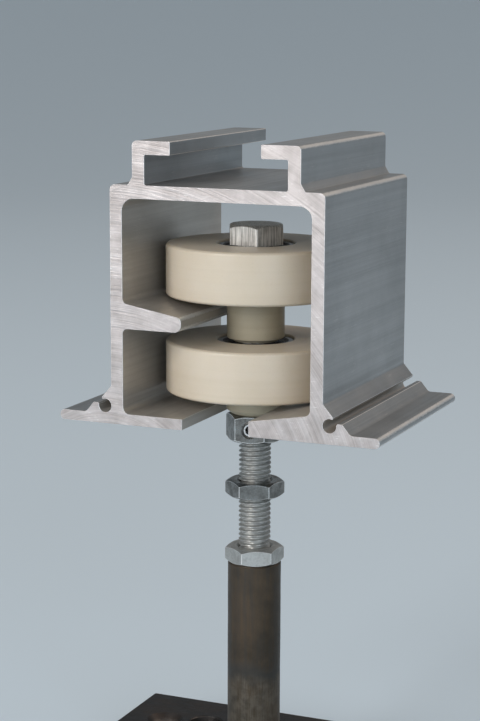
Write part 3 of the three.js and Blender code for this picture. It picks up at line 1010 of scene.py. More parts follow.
def fastener_finishes() -> dict[str, bpy.types.Material]:
    """The zinc of the nuts and the bolt, a darker copy of it as painted shade on two nuts, the bolt's
    head as a brighter copy with painted light, the pin, and the bearings' rings, darkened as painted
    shade.
    """
    zinc = PlatedSteel(
        "zinc_plate",
        (0.58, 0.58, 0.56),
        dull=(0.4, 0.4, 0.39),
        edge=(0.85, 0.85, 0.84),
        roughness=(0.44, 0.58),
    )
    # A darker copy of the zinc plate: painted shade on the clamp nut and the travelling nut.
    painted_shade = PlatedSteel(
        "painted_shade_zinc", (0.3, 0.3, 0.29), dull=(0.13, 0.13, 0.125), edge=(0.8, 0.8, 0.79)
    )
    # A brighter copy of the bolt's plate, its metallic lowered so that its shaded facets take a
    # diffuse glow: painted light on the head.
    head = PlatedSteel(
        "head_painted_light",
        (0.9, 0.87, 0.83),
        dull=(0.3, 0.285, 0.265),
        edge=(0.95, 0.93, 0.9),
        lay=Lay.COARSE_UPRIGHT,
        line_share=0.75,
        roughness=(0.36, 0.5),
        depth=0.03,
        metallic=0.7,
    )
    pin = PlatedSteel(
        "spring_steel", (0.12, 0.12, 0.125), dull=(0.05, 0.05, 0.05), edge=(0.7, 0.7, 0.7)
    )
    # Darkened far below bright bearing steel: painted shade in each wheel's recess round the bolt.
    # Also used for the distance rings and the balls.
    ring = PlatedSteel(
        "bearing_steel",
        (0.2, 0.2, 0.2),
        dull=(0.13, 0.13, 0.13),
        edge=(0.4, 0.4, 0.4),
        lay=Lay.ROUND,
        roughness=(0.26, 0.34),
    )
    return {
        "zinc": zinc.material(),
        "painted_shade_zinc": painted_shade.material(),
        "bolt_head_painted_light": head.material(),
        "pin": pin.material(),
        "ring": ring.material(),
    }


def stand_finishes() -> dict[str, bpy.types.Material]:
    """The raw steel of the post, the plate and the weld."""
    post = RawSteel(
        "post_steel",
        colour=(0.062, 0.048, 0.033),
        brown=(0.115, 0.08, 0.05),
        blue=(0.055, 0.056, 0.055),
        bright=(0.2, 0.18, 0.16),
        pale=(0.2, 0.175, 0.14),
        # The band at this height is a painted bluish reflection round the post.
        tint_and_reflection_band=(62.0, 6.0),
    )
    plate = RawSteel(
        "plate_steel",
        colour=(0.03, 0.028, 0.028),
        brown=(0.055, 0.044, 0.038),
        blue=(0.035, 0.04, 0.045),
        bright=(0.22, 0.2, 0.19),
        pale=(0.06, 0.055, 0.05),
        lay=Lay.ROLLED,
        bare_edge=0.35,
    )
    weld = RawSteel(
        "weld_bead",
        colour=(0.09, 0.085, 0.08),
        brown=(0.09, 0.062, 0.045),
        blue=(0.06, 0.07, 0.11),
        bright=(0.4, 0.38, 0.36),
        pale=(0.2, 0.19, 0.17),
        lay=Lay.EVEN,
        tint_and_reflection_band=(15.0, 3.0),
    )
    return {"post": post.material(), "plate": plate.material(), "weld": weld.material()}


def make_finishes() -> Finishes:
    """Makes the materials."""
    return Finishes(
        **aluminium_finishes(),
        **nylon_finishes(),
        **fastener_finishes(),
        **stand_finishes(),
        seal=Rubber("seal_rubber").material(),
    )


# ------------------------------------------------------------------ frame


def low_high(node: str) -> tuple[Array, Array]:
    """A CAD node's lowest and highest corners, in millimetres."""
    low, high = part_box(node)
    return np.array(low) / MM, np.array(high) / MM


def body_of_node(node: str) -> str:
    """The body that a CAD node belongs to."""
    bodies = frame["record"]["behaviour"]["bodies"]
    return next(body for body, members in bodies.items() if node in members)


def slot_of_node(node: str) -> str:
    """The record's material slot of a CAD node."""
    parts = frame["record"]["subparts"]
    return next(p["material_slot"] for p in parts if p["node"] == node)


def stand_in(piece: bpy.types.Object, node: str) -> bpy.types.Object:
    """Lets a piece ride where a CAD node does, and stand for it."""
    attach(piece, body_of_node(node))
    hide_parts(node)
    slot_of_node(node)
    LOG.info("%s stands for %s, %d faces", piece.name, node, len(piece.data.polygons))
    return piece


# ------------------------------------------------------------------ track


@dataclass
class Track:
    """The aluminium track: its section, from the middle of its slot and its underside."""

    finishes: Finishes
    node: str = "track"
    half_width: float = 40.0
    inner_half: float = 35.33
    shoulder: float = 84.9
    ceiling: float = 80.15
    top: float = 100.2
    lip_under: float = 95.4
    lip_tip: float = 16.85
    channel_outer: float = 31.3
    channel_inner: float = 26.6
    flange_half: float = 60.4
    flange_thick: float = 3.65
    port: tuple[float, float, float] = (42.4, 6.4, 2.45)
    left_ledge: tuple[float, float, float, float] = (-12.8, 34.35, 43.49, -0.176)
    left_shelf: tuple[float, float] = (-12.4, 3.9)
    right_ledge: tuple[float, float, float] = (12.7, 9.27, 0.1695)
    saw_chamfer: float = 0.1
    bright_rim: float = 0.15

    def _outer_half(self) -> list[tuple[float, ...]]:
        """The right half's outside, from the flange's tip up to the channel's floor."""
        x, z, radius = self.port
        port = [tuple(p) for p in arc(x, z, radius, 10.0, -295.0, 40)]
        return [
            (self.flange_half, 0.0, 1.75),
            (self.flange_half, self.flange_thick, 1.75),
            (50.0, self.flange_thick, 2.0),
            (46.95, 7.35, 0.6),
            (45.25, 7.35, 0.4),
            *port,
            (43.75, 9.3, 0.3),
            (self.half_width, 13.7, 1.0),
            (self.half_width, self.shoulder, 2.0),
            (32.9, self.shoulder, 0.8),
            (self.channel_outer, 87.6, 1.0),
            (self.channel_outer, self.top, 1.8),
            (self.lip_tip, self.top, 0.5),
            (self.lip_tip, self.lip_under, 0.5),
            (self.channel_inner, self.lip_under, 0.6),
            (self.channel_inner, self.shoulder, 0.8),
        ]

    def _inside(self) -> list[tuple[float, ...]]:
        """The inside, from the left shelf over the ceiling to the right ledge."""
        wall = self.inner_half
        tip, under, wall_z, slope = self.left_ledge
        shelf_tip, shelf_top = self.left_shelf
        right_tip, right_z, right_slope = self.right_ledge
        return [
            (shelf_tip, 0.0, 0.25),
            (shelf_tip, shelf_top, 0.25),
            (-wall, shelf_top, 2.5),
            (-wall, under, 1.8),
            (tip, under, 2.6),
            (tip, wall_z + slope * (tip + wall), 2.0),
            (-wall, wall_z, 2.0),
            (-wall, self.ceiling, 4.5),
            (wall, self.ceiling, 4.5),
            (wall, right_z, 2.2),
            (right_tip, right_z + right_slope * (right_tip - wall), 0.25),
            (right_tip, 0.0, 0.25),
        ]

    def outline(self) -> Outline:
        """The whole section."""
        right = self._outer_half()
        left = [(-corner[0], *corner[1:]) for corner in reversed(right)]
        return rounded([*right, *left, *self._inside()], steps=8)

    def _side_slots(self, outline: Outline) -> Array:
        """Which of the side's faces get the inside copy with painted bounced light: those inside, in
        the ports and in the slot.
        """
        x, z = np.abs(outline.points).T
        inside = (x < self.inner_half + 0.2) & (z < self.ceiling + 0.2) & (z > 0.1)
        port_x, port_z, radius = self.port
        port = np.hypot(x - port_x, z - port_z) < radius + 0.05
        return np.where(inside | port, 2, 0)

    def make(self) -> bpy.types.Object:
        """Builds the track with its two sawn ends."""
        low, high = low_high(self.node)
        middle = (low[0] + high[0]) / 2.0
        outline = self.outline()

        def place(section: Array, station: Array) -> Array:
            x = section[:, 0] + middle
            return np.stack([x, station, section[:, 1] + low[2]], axis=1)

        surface = Surface()
        slots = self._side_slots(outline)
        span = (low[1], high[1])
        prism(surface, outline, place, span, self.saw_chamfer, self.bright_rim, slots, end_slot=1)
        materials = [self.finishes.extruded, self.finishes.sawn, self.finishes.inside_painted_light]
        return stand_in(surface.build("track_extrusion", materials), self.node)


# ------------------------------------------------------------------ turned pieces


def turned_piece(
    name: str,
    node: str,
    corners: Sequence[tuple[float, ...]],
    material: bpy.types.Material,
    facets: int = 160,
    steps: int = 5,
) -> bpy.types.Object:
    """Builds a ring from a closed profile of (radius, z, corner radius) and stands it in.

    Args:
        name: The piece's name.
        node: The CAD node that it stands for.
        corners: The profile's corners, anticlockwise.
        material: Its material.
        facets: How many facets go round it.
        steps: How many straight pieces there are in a rounded corner.

    Returns:
        The object.
    """
    outline = rounded(corners, steps)
    surface = Surface()
    points = lathe(outline.points, even_angles(facets))
    surface.grid(points, outline.wear[:, None], closed_rows=True)
    return stand_in(surface.build(name, [material]), node)


@dataclass
class Bearing:
    """One sealed ball bearing, its sizes those of a 12 x 28 x 8 mm one."""

    finishes: Finishes
    name: str
    bore: float = 6.02
    outside: float = 14.0
    inner_shoulder: float = 8.2
    outer_shoulder: float = 12.1
    pitch_radius: float = 10.0
    ball_radius: float = 2.36
    balls: int = 8
    race_radius: float = 2.5
    race_spread: float = 32.0
    race_steps: int = 10
    cage_wall: float = 1.0
    cage_swell: float = 0.35

    def _race(self, middle: float, facing: float) -> list[tuple[float, ...]]:
        """The arc of a ball race.

        Args:
            middle: The height of the race's middle.
            facing: The direction of the arc's middle from the balls' centre, in degrees.

        Returns:
            The points, in the order in which the angle falls.
        """
        start, end = facing + self.race_spread, facing - self.race_spread
        points = arc(self.pitch_radius, middle, self.race_radius, start, end, self.race_steps)
        return [tuple(point) for point in points]

    def _rings(self, low: float, high: float) -> None:
        """Builds the outer and the inner ring, each with its ball race."""
        middle = (low + high) / 2.0
        outer = [
            (self.outer_shoulder, low, 0.15),
            (self.outside, low, 0.5),
            (self.outside, high, 0.5),
            (self.outer_shoulder, high, 0.15),
            *self._race(middle, 0.0),
        ]
        inner = [
            (self.bore, low, 0.3),
            (self.inner_shoulder, low, 0.15),
            *self._race(middle, 180.0),
            (self.inner_shoulder, high, 0.15),
            (self.bore, high, 0.3),
        ]
        for part, corners in (("outer_ring", outer), ("inner_ring", inner)):
            node = f"{self.name}_{part}"
            turned_piece(f"{node}_ground", node, corners, self.finishes.ring, facets=96)

    def _seal(self, side: str) -> None:
        """Builds one seal: a thin washer with a raised lip and a shallow groove."""
        node = f"{self.name}_{side}_seal"
        low, high = low_high(node)
        inner, outer = self.inner_shoulder + 0.12, self.outer_shoulder - 0.1
        out, back = (high[2], low[2]) if side == "top" else (low[2], high[2])
        dip = out + (back - out) * 0.45
        corners = [
            (inner, back),
            (outer, back),
            (outer, out, 0.15),
            (outer - 0.7, out, 0.1),
            (outer - 1.0, dip, 0.1),
            (inner + 1.1, dip, 0.1),
            (inner + 0.8, out, 0.1),
            (inner, out, 0.15),
        ]
        if side == "bottom":
            corners.reverse()
        turned_piece(f"{node}_rubber", node, corners, self.finishes.seal, facets=96, steps=3)

    def _cage(self) -> None:
        """Builds the balls and the cage's band, whose edge waves between the balls."""
        node = f"{self.name}_ball_cage"
        low, high = low_high(node)
        middle = (low[2] + high[2]) / 2.0
        surface = Surface()
        angles = even_angles(96)
        wall = self.cage_wall
        near, far = self.pitch_radius - wall, self.pitch_radius + wall
        section = rounded([(near, -wall, 0.2), (far, -wall, 0.2), (far, wall, 0.2), (near, wall, 0.2)])
        band = lathe(section.points, angles)
        crown = 1.0 + self.cage_swell * np.cos(self.balls * (angles - math.pi / self.balls))
        band[..., 2] = band[..., 2] * crown[None] + middle
        surface.grid(band, 0.0, slot=1, closed_rows=True)
        tilt = np.linspace(0.0, math.pi, 15)
        sphere = lathe(np.stack([np.sin(tilt), np.cos(tilt)], axis=1), even_angles(24))
        for index in range(self.balls):
            angle = TAU * (index + 0.5) / self.balls
            x, y = self.pitch_radius * math.cos(angle), self.pitch_radius * math.sin(angle)
            surface.grid(sphere * self.ball_radius + np.array([x, y, middle]))
        materials = [self.finishes.ring, self.finishes.cage]
        stand_in(surface.build(f"{node}_set", materials), node)

    def make(self) -> None:
        """Builds the whole bearing."""
        low, high = low_high(f"{self.name}_outer_ring")
        self._rings(low[2], high[2])
        self._cage()
        for side in ("bottom", "top"):
            self._seal(side)


@dataclass
class Wheel:
    """One nylon wheel with its two bearings and the distance ring between them."""

    finishes: Finishes
    side: str
    edge: float = 1.2
    seat: float = 14.05
    rib: float = 12.4

    def make(self) -> None:
        """Builds the wheel and everything inside it."""
        node = f"{self.side}_wheel"
        low, high = low_high(node)
        radius, bottom, top = high[0], low[2], high[2]
        rib_low = low_high(f"{node}_bearing_1_outer_ring")[1][2] + 0.02
        rib_high = low_high(f"{node}_bearing_2_outer_ring")[0][2] - 0.02
        corners = [
            (self.seat + 0.45, bottom, 0.2),
            (radius, bottom, self.edge),
            (radius, top, self.edge),
            (self.seat + 0.45, top, 0.2),
            (self.seat, top - 0.45),
            (self.seat, rib_high),
            (self.rib, rib_high),
            (self.rib, rib_low),
            (self.seat, rib_low),
            (self.seat, bottom + 0.45),
        ]
        turned_piece(f"{node}_turned", node, corners, self.finishes.wheel, facets=256, steps=8)
        for number in (1, 2):
            Bearing(self.finishes, f"{node}_bearing_{number}").make()
        self._distance_ring()

    def _distance_ring(self) -> None:
        """Builds the ring between the inner rings."""
        node = f"{self.side}_distance_ring"
        low, high = low_high(node)
        corners = [
            (6.15, low[2], 0.1),
            (high[0], low[2], 0.2),
            (high[0], high[2], 0.2),
            (6.15, high[2], 0.1),
        ]
        turned_piece(f"{node}_ground", node, corners, self.finishes.ring, facets=64, steps=3)


@dataclass
class Spacers:
    """The two nylon spacers on the bolt."""

    finishes: Finishes
    bore: float = 6.15
    nose_radius: float = 8.1
    nose: float = 1.0
    foot_radius: float = 8.6
    foot: float = 1.6

    def make(self) -> None:
        """Builds the middle and the lower spacer."""
        low, high = low_high("middle_spacer")
        radius, bottom = high[0], low[2]
        nose_foot = [
            (self.nose_radius, bottom, 0.2),
            (self.nose_radius, bottom + self.nose),
            (radius, bottom + self.nose, 0.5),
        ]
        self._spacer("middle_spacer", nose_foot, 0.5)
        bottom = low_high("lower_spacer")[0][2]
        cone_foot = [(self.foot_radius, bottom, 0.3), (radius, bottom + self.foot, 0.3)]
        self._spacer("lower_spacer", cone_foot, 0.4)

    def _spacer(self, node: str, foot: Sequence[tuple[float, ...]], edge: float) -> None:
        """Builds one spacer, with a nose at its top.

        Args:
            node: The CAD node that it stands for.
            foot: The corners at its foot, outwards from the bore.
            edge: The radius of its upper edge.
        """
        low, high = low_high(node)
        radius, bottom, top = high[0], low[2], high[2]
        corners = [
            (self.bore, bottom, 0.2),
            *foot,
            (radius, top - self.nose, edge),
            (self.nose_radius, top - self.nose),
            (self.nose_radius, top, 0.2),
            (self.bore, top, 0.2),
        ]
        turned_piece(f"{node}_turned", node, corners, self.finishes.spacer)


# ------------------------------------------------------------------ hexagons and threads


CHAMFER_SLOPE = math.tan(math.radians(30.0))


@dataclass
class HexNut:
    """A chamfered hexagon nut.

    Its side is the hexagon's radius at each angle, cut at either end by a 30 degree cone, so
    the curves where they meet come from the sum.
    """

    finish: bpy.types.Material
    node: str
    turn_degrees: float
    flats: float = 19.0
    bore: float = 6.05
    sink: float = 0.7
    face_inset: float = 0.4
    worn_width: float = 0.22

    def _rows(self, height: float, angles: Array) -> tuple[Array, Array, Array]:
        """The radius, the height and the wear of every point.

        Args:
            height: The nut's height.
            angles: The angles of the columns.

        Returns:
            Three arrays of rows by columns, from the bore's foot round to its top.
        """
        turn = math.radians(self.turn_degrees)
        side = hexagon_radius(angles, self.flats, turn)[None]
        face = self.flats / 2.0 - self.face_inset
        shares = np.array([0.0, 0.4, 0.8, 1.0])[:, None]
        cone_radius = face + shares * (side - face)
        cone_height = (cone_radius - face) * CHAMFER_SLOPE
        tall = np.array([0.05, 0.5, 0.95])[:, None]
        side_low = cone_height[-1:]
        side_height = side_low + tall * (height - 2.0 * side_low)
        count = len(angles)
        bore_rows = np.repeat([[self.bore], [self.bore + self.sink]], count, axis=1)
        radius = [bore_rows, cone_radius, np.repeat(side, 3, axis=0)]
        radius += [cone_radius[::-1], bore_rows[::-1]]
        bore_z = np.repeat([[self.sink], [0.0]], count, axis=1)
        heights = [bore_z, cone_height, side_height, height - cone_height[::-1]]
        heights += [height - bore_z[::-1]]
        rows_wear = np.array([0, 0.6, 0, 0, 0.2, 1, 0, 0, 0, 1, 0.2, 0, 0, 0.6, 0], float)
        at_corner = corner_wear(angles, self.flats, turn, self.worn_width)
        on_side = np.array([0, 0, 0, 0, 0.5, 1, 1, 1, 1, 1, 0.5, 0, 0, 0, 0], float)
        wear = np.maximum(rows_wear[:, None], on_side[:, None] * at_corner[None])
        return np.concatenate(radius), np.concatenate(heights), wear

    def make(self) -> bpy.types.Object:
        """Builds the nut."""
        low, high = low_high(self.node)
        angles = hexagon_angles(math.radians(self.turn_degrees))
        radius, height, wear = self._rows(high[2] - low[2], angles)
        surface = Surface()
        surface.grid(polar(radius, height + low[2], angles), wear, closed_rows=True)
        return surface.build(f"{self.node}_plated", [self.finish])


@dataclass
class ClampNut(HexNut):
    """The full nut with the lock pin through it."""

    pin_finish: bpy.types.Material | None = None
    pin_radius: float = 2.5
    pin_bore: float = 1.55
    pin_slot: float = 0.9
    hole_sink: float = 0.55
    hole_play: float = 0.06
    pin_short: float = 0.3
    pin_ease: float = 0.3

    def _drill(self, centre: float, half_length: float) -> bpy.types.Object:
        """The shape that the drill takes out: a cylinder that opens at both mouths."""
        hole = self.pin_radius + self.hole_play
        past = 0.3
        mouth = hole + self.hole_sink + past
        inside = self.flats / 2.0 - self.hole_sink
        profile = np.array(
            [
                (0.0, -half_length),
                (mouth, -half_length),
                (mouth, -inside - self.hole_sink - past),
                (hole, -inside),
                (hole, inside),
                (mouth, inside + self.hole_sink + past),
                (mouth, half_length),
                (0.0, half_length),
            ]
        )
        turned = lathe(profile, even_angles(48))
        surface = Surface()
        surface.grid(self._across(turned, centre))
        return surface.build("pin_drill", [])

    def _across(self, points: Array, centre: float) -> Array:
        """Lays a shape that stands about Z down along the pin's line."""
        turn = math.radians(self.turn_degrees)
        x, y, z = points[..., 0], points[..., 1], points[..., 2]
        along_x, along_y = -math.sin(turn), math.cos(turn)
        across_x, across_y = math.cos(turn), math.sin(turn)
        placed_x = along_x * z + across_x * x
        placed_y = along_y * z + across_y * x
        return np.stack([placed_x, placed_y, y + centre], axis=-1)

    def make(self) -> bpy.types.Object:
        """Builds the nut, drills it and puts the pin in."""
        piece = super().make()
        low, high = low_high(self.node)
        centre = (low[2] + high[2]) / 2.0
        cut(piece, self._drill(centre, 14.0))
        self._pin(centre)
        return piece

    def _pin(self, centre: float) -> None:
        """Builds the rolled pin: a C-shaped section carried along its line, eased at its ends."""
        gap = math.degrees(self.pin_slot / self.pin_radius) / 2.0
        half = self.flats / 2.0 - self.pin_short
        surface = Surface()
        opening = 90.0
        steps = 48
        start, end = opening + gap, opening + 360.0 - gap
        stations = np.array([-half, -half + 0.35, half - 0.35, half])
        inset = np.array([self.pin_ease, 0.0, 0.0, self.pin_ease])
        rings = []
        for station, ease in zip(stations, inset):
            outer = arc(0.0, 0.0, self.pin_radius - ease, start, end, steps)
            inner = arc(0.0, 0.0, self.pin_bore + ease * 0.4, end, start, steps)
            section = np.concatenate([outer, inner])
            height = np.full((len(section), 1), station)
            rings.append(np.concatenate([section, height], axis=1))
        side = self._across(np.stack(rings), centre)
        wear = np.array([1.0, 0.6, 0.0, 0.0])[:, None]
        surface.grid(side, wear)
        for ring, shine in ((rings[0], 1.0), (rings[-1], 1.0)):
            half_ring = len(ring) // 2
            cap = np.stack([ring[:half_ring], ring[half_ring:][::-1]])
            surface.grid(self._across(cap, centre), shine, closed_columns=False)
        stand_in(surface.build("lock_pin_rolled", [self.pin_finish]), "lock_pin")


@dataclass
class PendantBolt:
    """The long hexagon bolt, its thread a true helix.

    The radius on the thread is a flat-topped triangle wave of z over the pitch less the angle
    over a full turn, which climbs by one pitch each turn. The head is the nut's sum again.
    """

    finishes: Finishes
    node: str = "pendant_bolt"
    turn_degrees: float = -5.7
    flats: float = 19.0
    pitch: float = 1.75
    crest: float = 5.9
    thread_depth: float = 1.0
    thread_top: float = 159.5
    rows_per_pitch: int = 10
    crest_wear: float = 0.45
    crest_band: float = 0.18
    run_out: float = 2.5
    tip_slope: float = 1.1
    face_inset: float = 0.5
    washer_height: float = 0.35
    worn_width: float = 0.25

    def _thread(self, z: Array, angles: Array) -> Array:
        """The radius on the thread at each height and angle."""
        phase = (z[:, None] / self.pitch - angles[None] / TAU) % 1.0
        wave = 1.0 - np.abs(2.0 * phase - 1.0)
        raised = np.clip((wave - 0.16) / 0.66, 0.0, 1.0)
        raised = raised * raised * (3.0 - 2.0 * raised) * 0.35 + raised * 0.65
        return self.crest - self.thread_depth * (1.0 - raised)

    def _shank(self, low: float, head: float, angles: Array) -> tuple[Array, Array, Array]:
        """The radius, height and wear from the tip up to the head."""
        count = len(angles)
        rows = int((self.thread_top - low) / self.pitch * self.rows_per_pitch)
        z = np.linspace(low, self.thread_top, rows)
        radius = self._thread(z, angles)
        fade = np.clip((self.thread_top - z) / self.run_out, 0.0, 1.0)[:, None]
        radius = self.crest + (radius - self.crest) * fade
        radius = np.minimum(radius, (self.crest + (z - low - 1.0) * self.tip_slope)[:, None])
        band = (radius - self.crest + self.crest_band) / self.crest_band
        wear = np.clip(band, 0.0, 1.0) * self.crest_wear
        heights = np.repeat(z[:, None], count, axis=1)
        tip = np.zeros((1, count))
        plain = np.array([self.thread_top + 0.5, head - 0.8, head - 0.05])
        radius = np.concatenate([tip, radius, np.full((3, count), self.crest)])
        heights = np.concatenate([np.full((1, count), low), heights, plain[:, None] + tip])
        wear = np.concatenate([tip, wear, np.zeros((3, count))])
        return radius, heights, wear

    def _head(self, low: float, high: float, angles: Array) -> tuple[Array, Array, Array]:
        """The radius, height and wear of the head, from its underside to the middle of its top."""
        turn = math.radians(self.turn_degrees)
        side = hexagon_radius(angles, self.flats, turn)[None]
        face = self.flats / 2.0 - self.face_inset
        shares = np.array([1.0, 0.8, 0.4, 0.0])[:, None]
        cone_radius = face + shares * (side - face)
        cone_height = high - (cone_radius - face) * CHAMFER_SLOPE
        flat = np.zeros_like(side)
        step = low + self.washer_height
        washer = self.flats / 2.0 - 0.45
        radius = [flat + self.crest + 0.05, flat + washer, flat + washer, side, side, side, side]
        heights = [flat + low, flat + low, flat + step, flat + step]
        heights += [flat + low + 0.8, (low + cone_height[:1]) / 2.0, cone_height[:1] - 0.3]
        radius += [cone_radius, flat + face - 1.2, flat]
        heights += [cone_height, flat + high, flat + high]
        row = [0, 0.2, 0.2, 0.5, 0, 0, 0, 0.5, 0.1, 0, 0.2, 0, 0]
        at_corner = corner_wear(angles, self.flats, turn, self.worn_width)
        on_side = np.array([0, 0, 0, 1, 1, 1, 1, 1, 0.4, 0, 0, 0, 0], float)
        wear = np.maximum(np.array(row, float)[:, None], on_side[:, None] * at_corner[None])
        return np.concatenate(radius), np.concatenate(heights), wear

    def make(self) -> bpy.types.Object:
        """Builds the bolt."""
        low, high = low_high(self.node)
        head = low_high("upper_wheel_bearing_2_inner_ring")[1][2]
        angles = hexagon_angles(math.radians(self.turn_degrees))
        surface = Surface()
        radius, height, wear = self._shank(low[2], head, angles)
        surface.grid(polar(radius, height, angles), wear)
        top_radius, top_height, top_wear = self._head(head, high[2], angles)
        top_radius[0], top_height[0] = radius[-1], height[-1]
        surface.grid(polar(top_radius, top_height, angles), top_wear, slot=1)
        materials = [self.finishes.zinc, self.finishes.bolt_head_painted_light]
        return stand_in(surface.build("pendant_bolt_threaded", materials), self.node)


# ------------------------------------------------------------------ stand


@dataclass
class Stand:
    """The base plate, the post and the weld between them."""

    finishes: Finishes
    corner_radius: float = 1.2
    chamfer: float = 0.6
    fixing: tuple[float, float] = (62.5, 53.5)
    hole: float = 4.5
    sink: float = 7.5
    spare: tuple[float, float, float] = (-45.5, 57.0, 7.0)
    spare_edge: float = 0.5
    post_bore: float = 6.05
    bore_depth: float = 42.0
    bright_rim: float = 0.7

    def _drill(
        self, x: float, y: float, profile: Sequence[tuple[float, float]]
    ) -> bpy.types.Object:
        """A turned cutter that stands at a point of the plate."""
        surface = Surface()
        points = lathe(np.array(profile), even_angles(64)) + np.array([x, y, 0.0])
        surface.grid(points)
        return surface.build("plate_drill", [])

    def _plate(self) -> None:
        """Builds the plate and drills it."""
        low, high = low_high("base_plate")
        top = high[2]
        corners = [
            (low[0], low[1], self.corner_radius),
            (high[0], low[1], self.corner_radius),
            (high[0], high[1], self.corner_radius),
            (low[0], high[1], self.corner_radius),
        ]

        def place(section: Array, station: Array) -> Array:
            return np.concatenate([section, station[:, None]], axis=1)

        surface = Surface()
        prism(surface, rounded(corners, 4), place, (low[2], top), self.chamfer, self.bright_rim)
        plate = surface.build("base_plate_rolled", [self.finishes.plate])
        drop = self.sink - self.hole
        past = 1.0
        screw = [(0, -past), (self.hole, -past), (self.hole, top - drop)]
        screw += [(self.sink + past, top + past), (0, top + past)]
        for side_x in (-1, 1):
            for side_y in (-1, 1):
                drill = self._drill(side_x * self.fixing[0], side_y * self.fixing[1], screw)
                cut(plate, drill)
        x, y, radius = self.spare
        plain = [(0, -past), (radius, -past), (radius, top - self.spare_edge)]
        plain += [(radius + self.spare_edge + past, top + past), (0, top + past)]
        cut(plate, self._drill(x, y, plain))
        stand_in(plate, "base_plate")

    def _post(self) -> None:
        """Builds the post, its surface faintly uneven as rolled bar is."""
        low, high = low_high("post")
        radius, bottom, top = high[0], low[2], high[2]
        angles = even_angles(128)
        bore = top - self.bore_depth
        outside = np.linspace(bottom + 0.2, top - 1.0, 60)
        profile = [(0.0, bottom), (radius - 0.1, bottom)]
        profile += [(radius - 0.02, z) for z in outside]
        profile += [(radius - 0.02, top - 0.55), (radius - 0.55, top), (self.post_bore + 0.4, top)]
        profile += [(self.post_bore, top - 0.4), (self.post_bore, bore), (0.0, bore - 3.0)]
        points = lathe(np.array(profile), angles)
        turn = np.broadcast_to(angles[None], points.shape[:2])
        uneven = ripple(turn, points[..., 2], 4, 0.05)
        skin = (np.hypot(points[..., 0], points[..., 1]) > radius - 0.3) * (0.06 + uneven) / radius
        points[..., :2] *= (1.0 - skin)[..., None]
        wear = np.zeros(len(profile))
        wear[[1, -6, -5, -4]] = (0.3, 0.2, 0.5, 0.3)
        surface = Surface()
        surface.grid(points, wear[:, None])
        stand_in(surface.build("post_bar", [self.finishes.post]), "post")

    def _weld(self) -> None:
        """Builds the weld: a rounded fillet whose face ripples as the bead was laid."""
        low, high = low_high("foot_weld")
        bottom, leg = low[2], high[2] - low[2]
        inner = high[0] - leg
        angles = even_angles(240)
        sweep = np.linspace(0.0, 1.0, 12)[:, None]
        waves = 0.5 + 0.5 * np.sin(46.0 * angles[None] + 2.6 * np.cos(math.pi * sweep))
        lump = 0.06 * np.sin(5.0 * angles)[None] + 0.04 * np.sin(11.0 * angles + 1.0)[None]
        bulge = np.sin(math.pi * sweep) * (0.1 + 0.09 * waves + lump)
        reach = leg * (1.0 - sweep) * 0.97
        rise = leg * sweep * 0.97
        radius = inner + reach + bulge * leg * 0.7
        height = bottom + rise + bulge * leg * 0.7
        corner_radius = np.full((1, 240), inner)
        corner_height = np.full((1, 240), bottom)
        radius = np.concatenate([corner_radius, radius])
        height = np.concatenate([corner_height, height])
        surface = Surface()
        surface.grid(polar(radius, height, angles), 0.0, closed_rows=True)
        stand_in(surface.build("foot_weld_bead", [self.finishes.weld]), "foot_weld")

    def make(self) -> None:
        """Builds the stand."""
        self._plate()
        self._post()
        self._weld()


# ------------------------------------------------------------------ studio


@dataclass(frozen=True)
class SoftLight:
    """A square soft light.

    Attributes:
        name: The light's name.
        place: Where it hangs, in metres.
        size: The length of its side, in metres.
        power: Its power, in watts.
        colour: Its colour.
    """

    name: str
    place: tuple[float, float, float]
    size: float
    power: float
    colour: Colour

    def hang(self, target: Vector) -> None:
        """Hangs the light so that it faces a target."""
        data = bpy.data.lights.new(self.name, "AREA")
        data.shape = "SQUARE"
        data.size = self.size
        data.energy = self.power
        data.color = self.colour
        light = bpy.data.objects.new(self.name, data)
        light.location = self.place
        light.rotation_euler = (target - Vector(self.place)).to_track_quat("-Z", "Y").to_euler()
        light.visible_camera = False
        bpy.context.scene.collection.objects.link(light)


LIGHTS = (
    SoftLight("key", (-1.25, -3.25, 1.7), 2.25, 103.0, (1.0, 0.965, 0.93)),
    SoftLight("side", (2.5, -3.0, 1.3), 2.0, 38.0, (0.8, 0.91, 1.0)),
    SoftLight("top", (1.75, 1.25, 2.7), 2.0, 28.0, (1.0, 0.8, 0.66)),
)


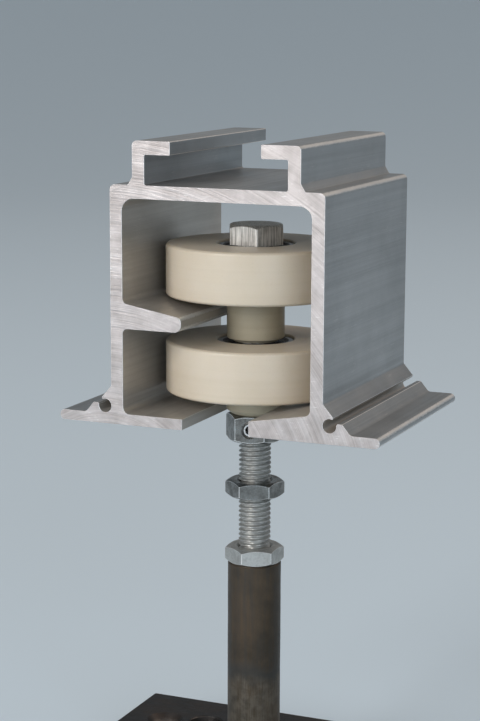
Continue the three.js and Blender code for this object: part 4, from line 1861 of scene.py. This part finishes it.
@dataclass
class Studio:
    """The floor, the lights, the surrounding light and the camera."""

    eye_mm: tuple[float, float, float] = (267.1, -635.1, 302.1)
    yaw: float = -23.28
    pitch: float = 10.281
    roll: float = 0.232
    lens: float = 96.17
    target: tuple[float, float, float] = (0.0, 0.0, 0.2)
    flat_radius: float = 2.5
    sweep_radius: float = 8.0
    floor_drop: float = 0.0003
    floor_colour: Colour = (0.6, 0.72, 0.82)
    air_colour: Colour = (0.7, 0.68, 0.66)
    air_strength: float = 0.42

    def _floor(self) -> None:
        """Lays a wide pale floor that sweeps up far away from the object, all round it."""
        bend = np.radians(np.linspace(0.0, 50.0, 25))
        flat = [0.0, 0.4, 1.0, 1.8]
        radius = np.concatenate([flat, self.flat_radius + self.sweep_radius * np.sin(bend)])
        rise = self.sweep_radius * (1.0 - np.cos(bend))
        height = np.concatenate([np.zeros(len(flat)), rise]) - self.floor_drop
        points = lathe(np.stack([radius, height], axis=1), even_angles(96))
        faces = grid_quads(*points.shape[:2]).reshape(-1, 4)
        mesh = bpy.data.meshes.new("floor")
        mesh.from_pydata(points.reshape(-1, 3).tolist(), [], faces[:, ::-1].tolist())
        mesh.shade_smooth()
        made = Dresser("pale_floor")
        made.set(Base_Color=rgba(self.floor_colour), Roughness=0.9, Specular_IOR_Level=0.1)
        mesh.materials.append(made.material)
        floor = bpy.data.objects.new("floor", mesh)
        bpy.context.scene.collection.objects.link(floor)

    def _camera(self) -> None:
        """Places the camera from its yaw, pitch and roll."""
        yaw, pitch, roll = (math.radians(a) for a in (self.yaw, self.pitch, self.roll))
        ahead = Vector(
            (math.sin(yaw) * math.cos(pitch), math.cos(yaw) * math.cos(pitch), -math.sin(pitch))
        )
        level = Vector((math.cos(yaw), -math.sin(yaw), 0.0))
        upright = level.cross(ahead)
        right = level * math.cos(roll) + upright * math.sin(roll)
        up = upright * math.cos(roll) - level * math.sin(roll)
        axes = Matrix((right, up, -ahead)).transposed()
        data = bpy.data.cameras.new("camera")
        data.lens = self.lens
        data.sensor_width = 36.0
        data.clip_end = 100.0
        camera = bpy.data.objects.new("camera", data)
        place = Matrix.Translation(Vector(self.eye_mm) * MM)
        camera.matrix_world = place @ axes.to_4x4()
        bpy.context.scene.collection.objects.link(camera)
        bpy.context.scene.camera = camera

    def _air(self) -> None:
        """Sets the even light that comes from all round."""
        world = bpy.data.worlds.new("studio")
        world.use_nodes = True
        background = world.node_tree.nodes["Background"]
        background.inputs[0].default_value = rgba(self.air_colour)
        background.inputs[1].default_value = self.air_strength
        bpy.context.scene.world = world

    def make(self) -> None:
        """Sets the studio up."""
        self._camera()
        self._floor()
        for light in LIGHTS:
            light.hang(Vector(self.target))
        self._air()
        bpy.context.scene.view_settings.view_transform = "Standard"


# ------------------------------------------------------------------ assembly


def main() -> None:
    """Builds the studio and every sub-assembly."""
    logging.basicConfig(level=logging.INFO, format="%(name)s: %(message)s")
    Studio().make()
    finishes = make_finishes()
    Track(finishes).make()
    for side in ("lower", "upper"):
        Wheel(finishes, side).make()
    Spacers(finishes).make()
    PendantBolt(finishes).make()
    # The clamp nut and the travelling nut wear the darker zinc copy, which is painted shade.
    clamp = ClampNut(finishes.painted_shade_zinc, "clamp_nut", 10.3, pin_finish=finishes.pin)
    stand_in(clamp.make(), "clamp_nut")
    stand_in(HexNut(finishes.painted_shade_zinc, "travelling_nut", 21.1).make(), "travelling_nut")
    stand_in(HexNut(finishes.zinc, "lock_nut", 26.8).make(), "lock_nut")
    Stand(finishes).make()


if __name__ == "__main__":
    main()
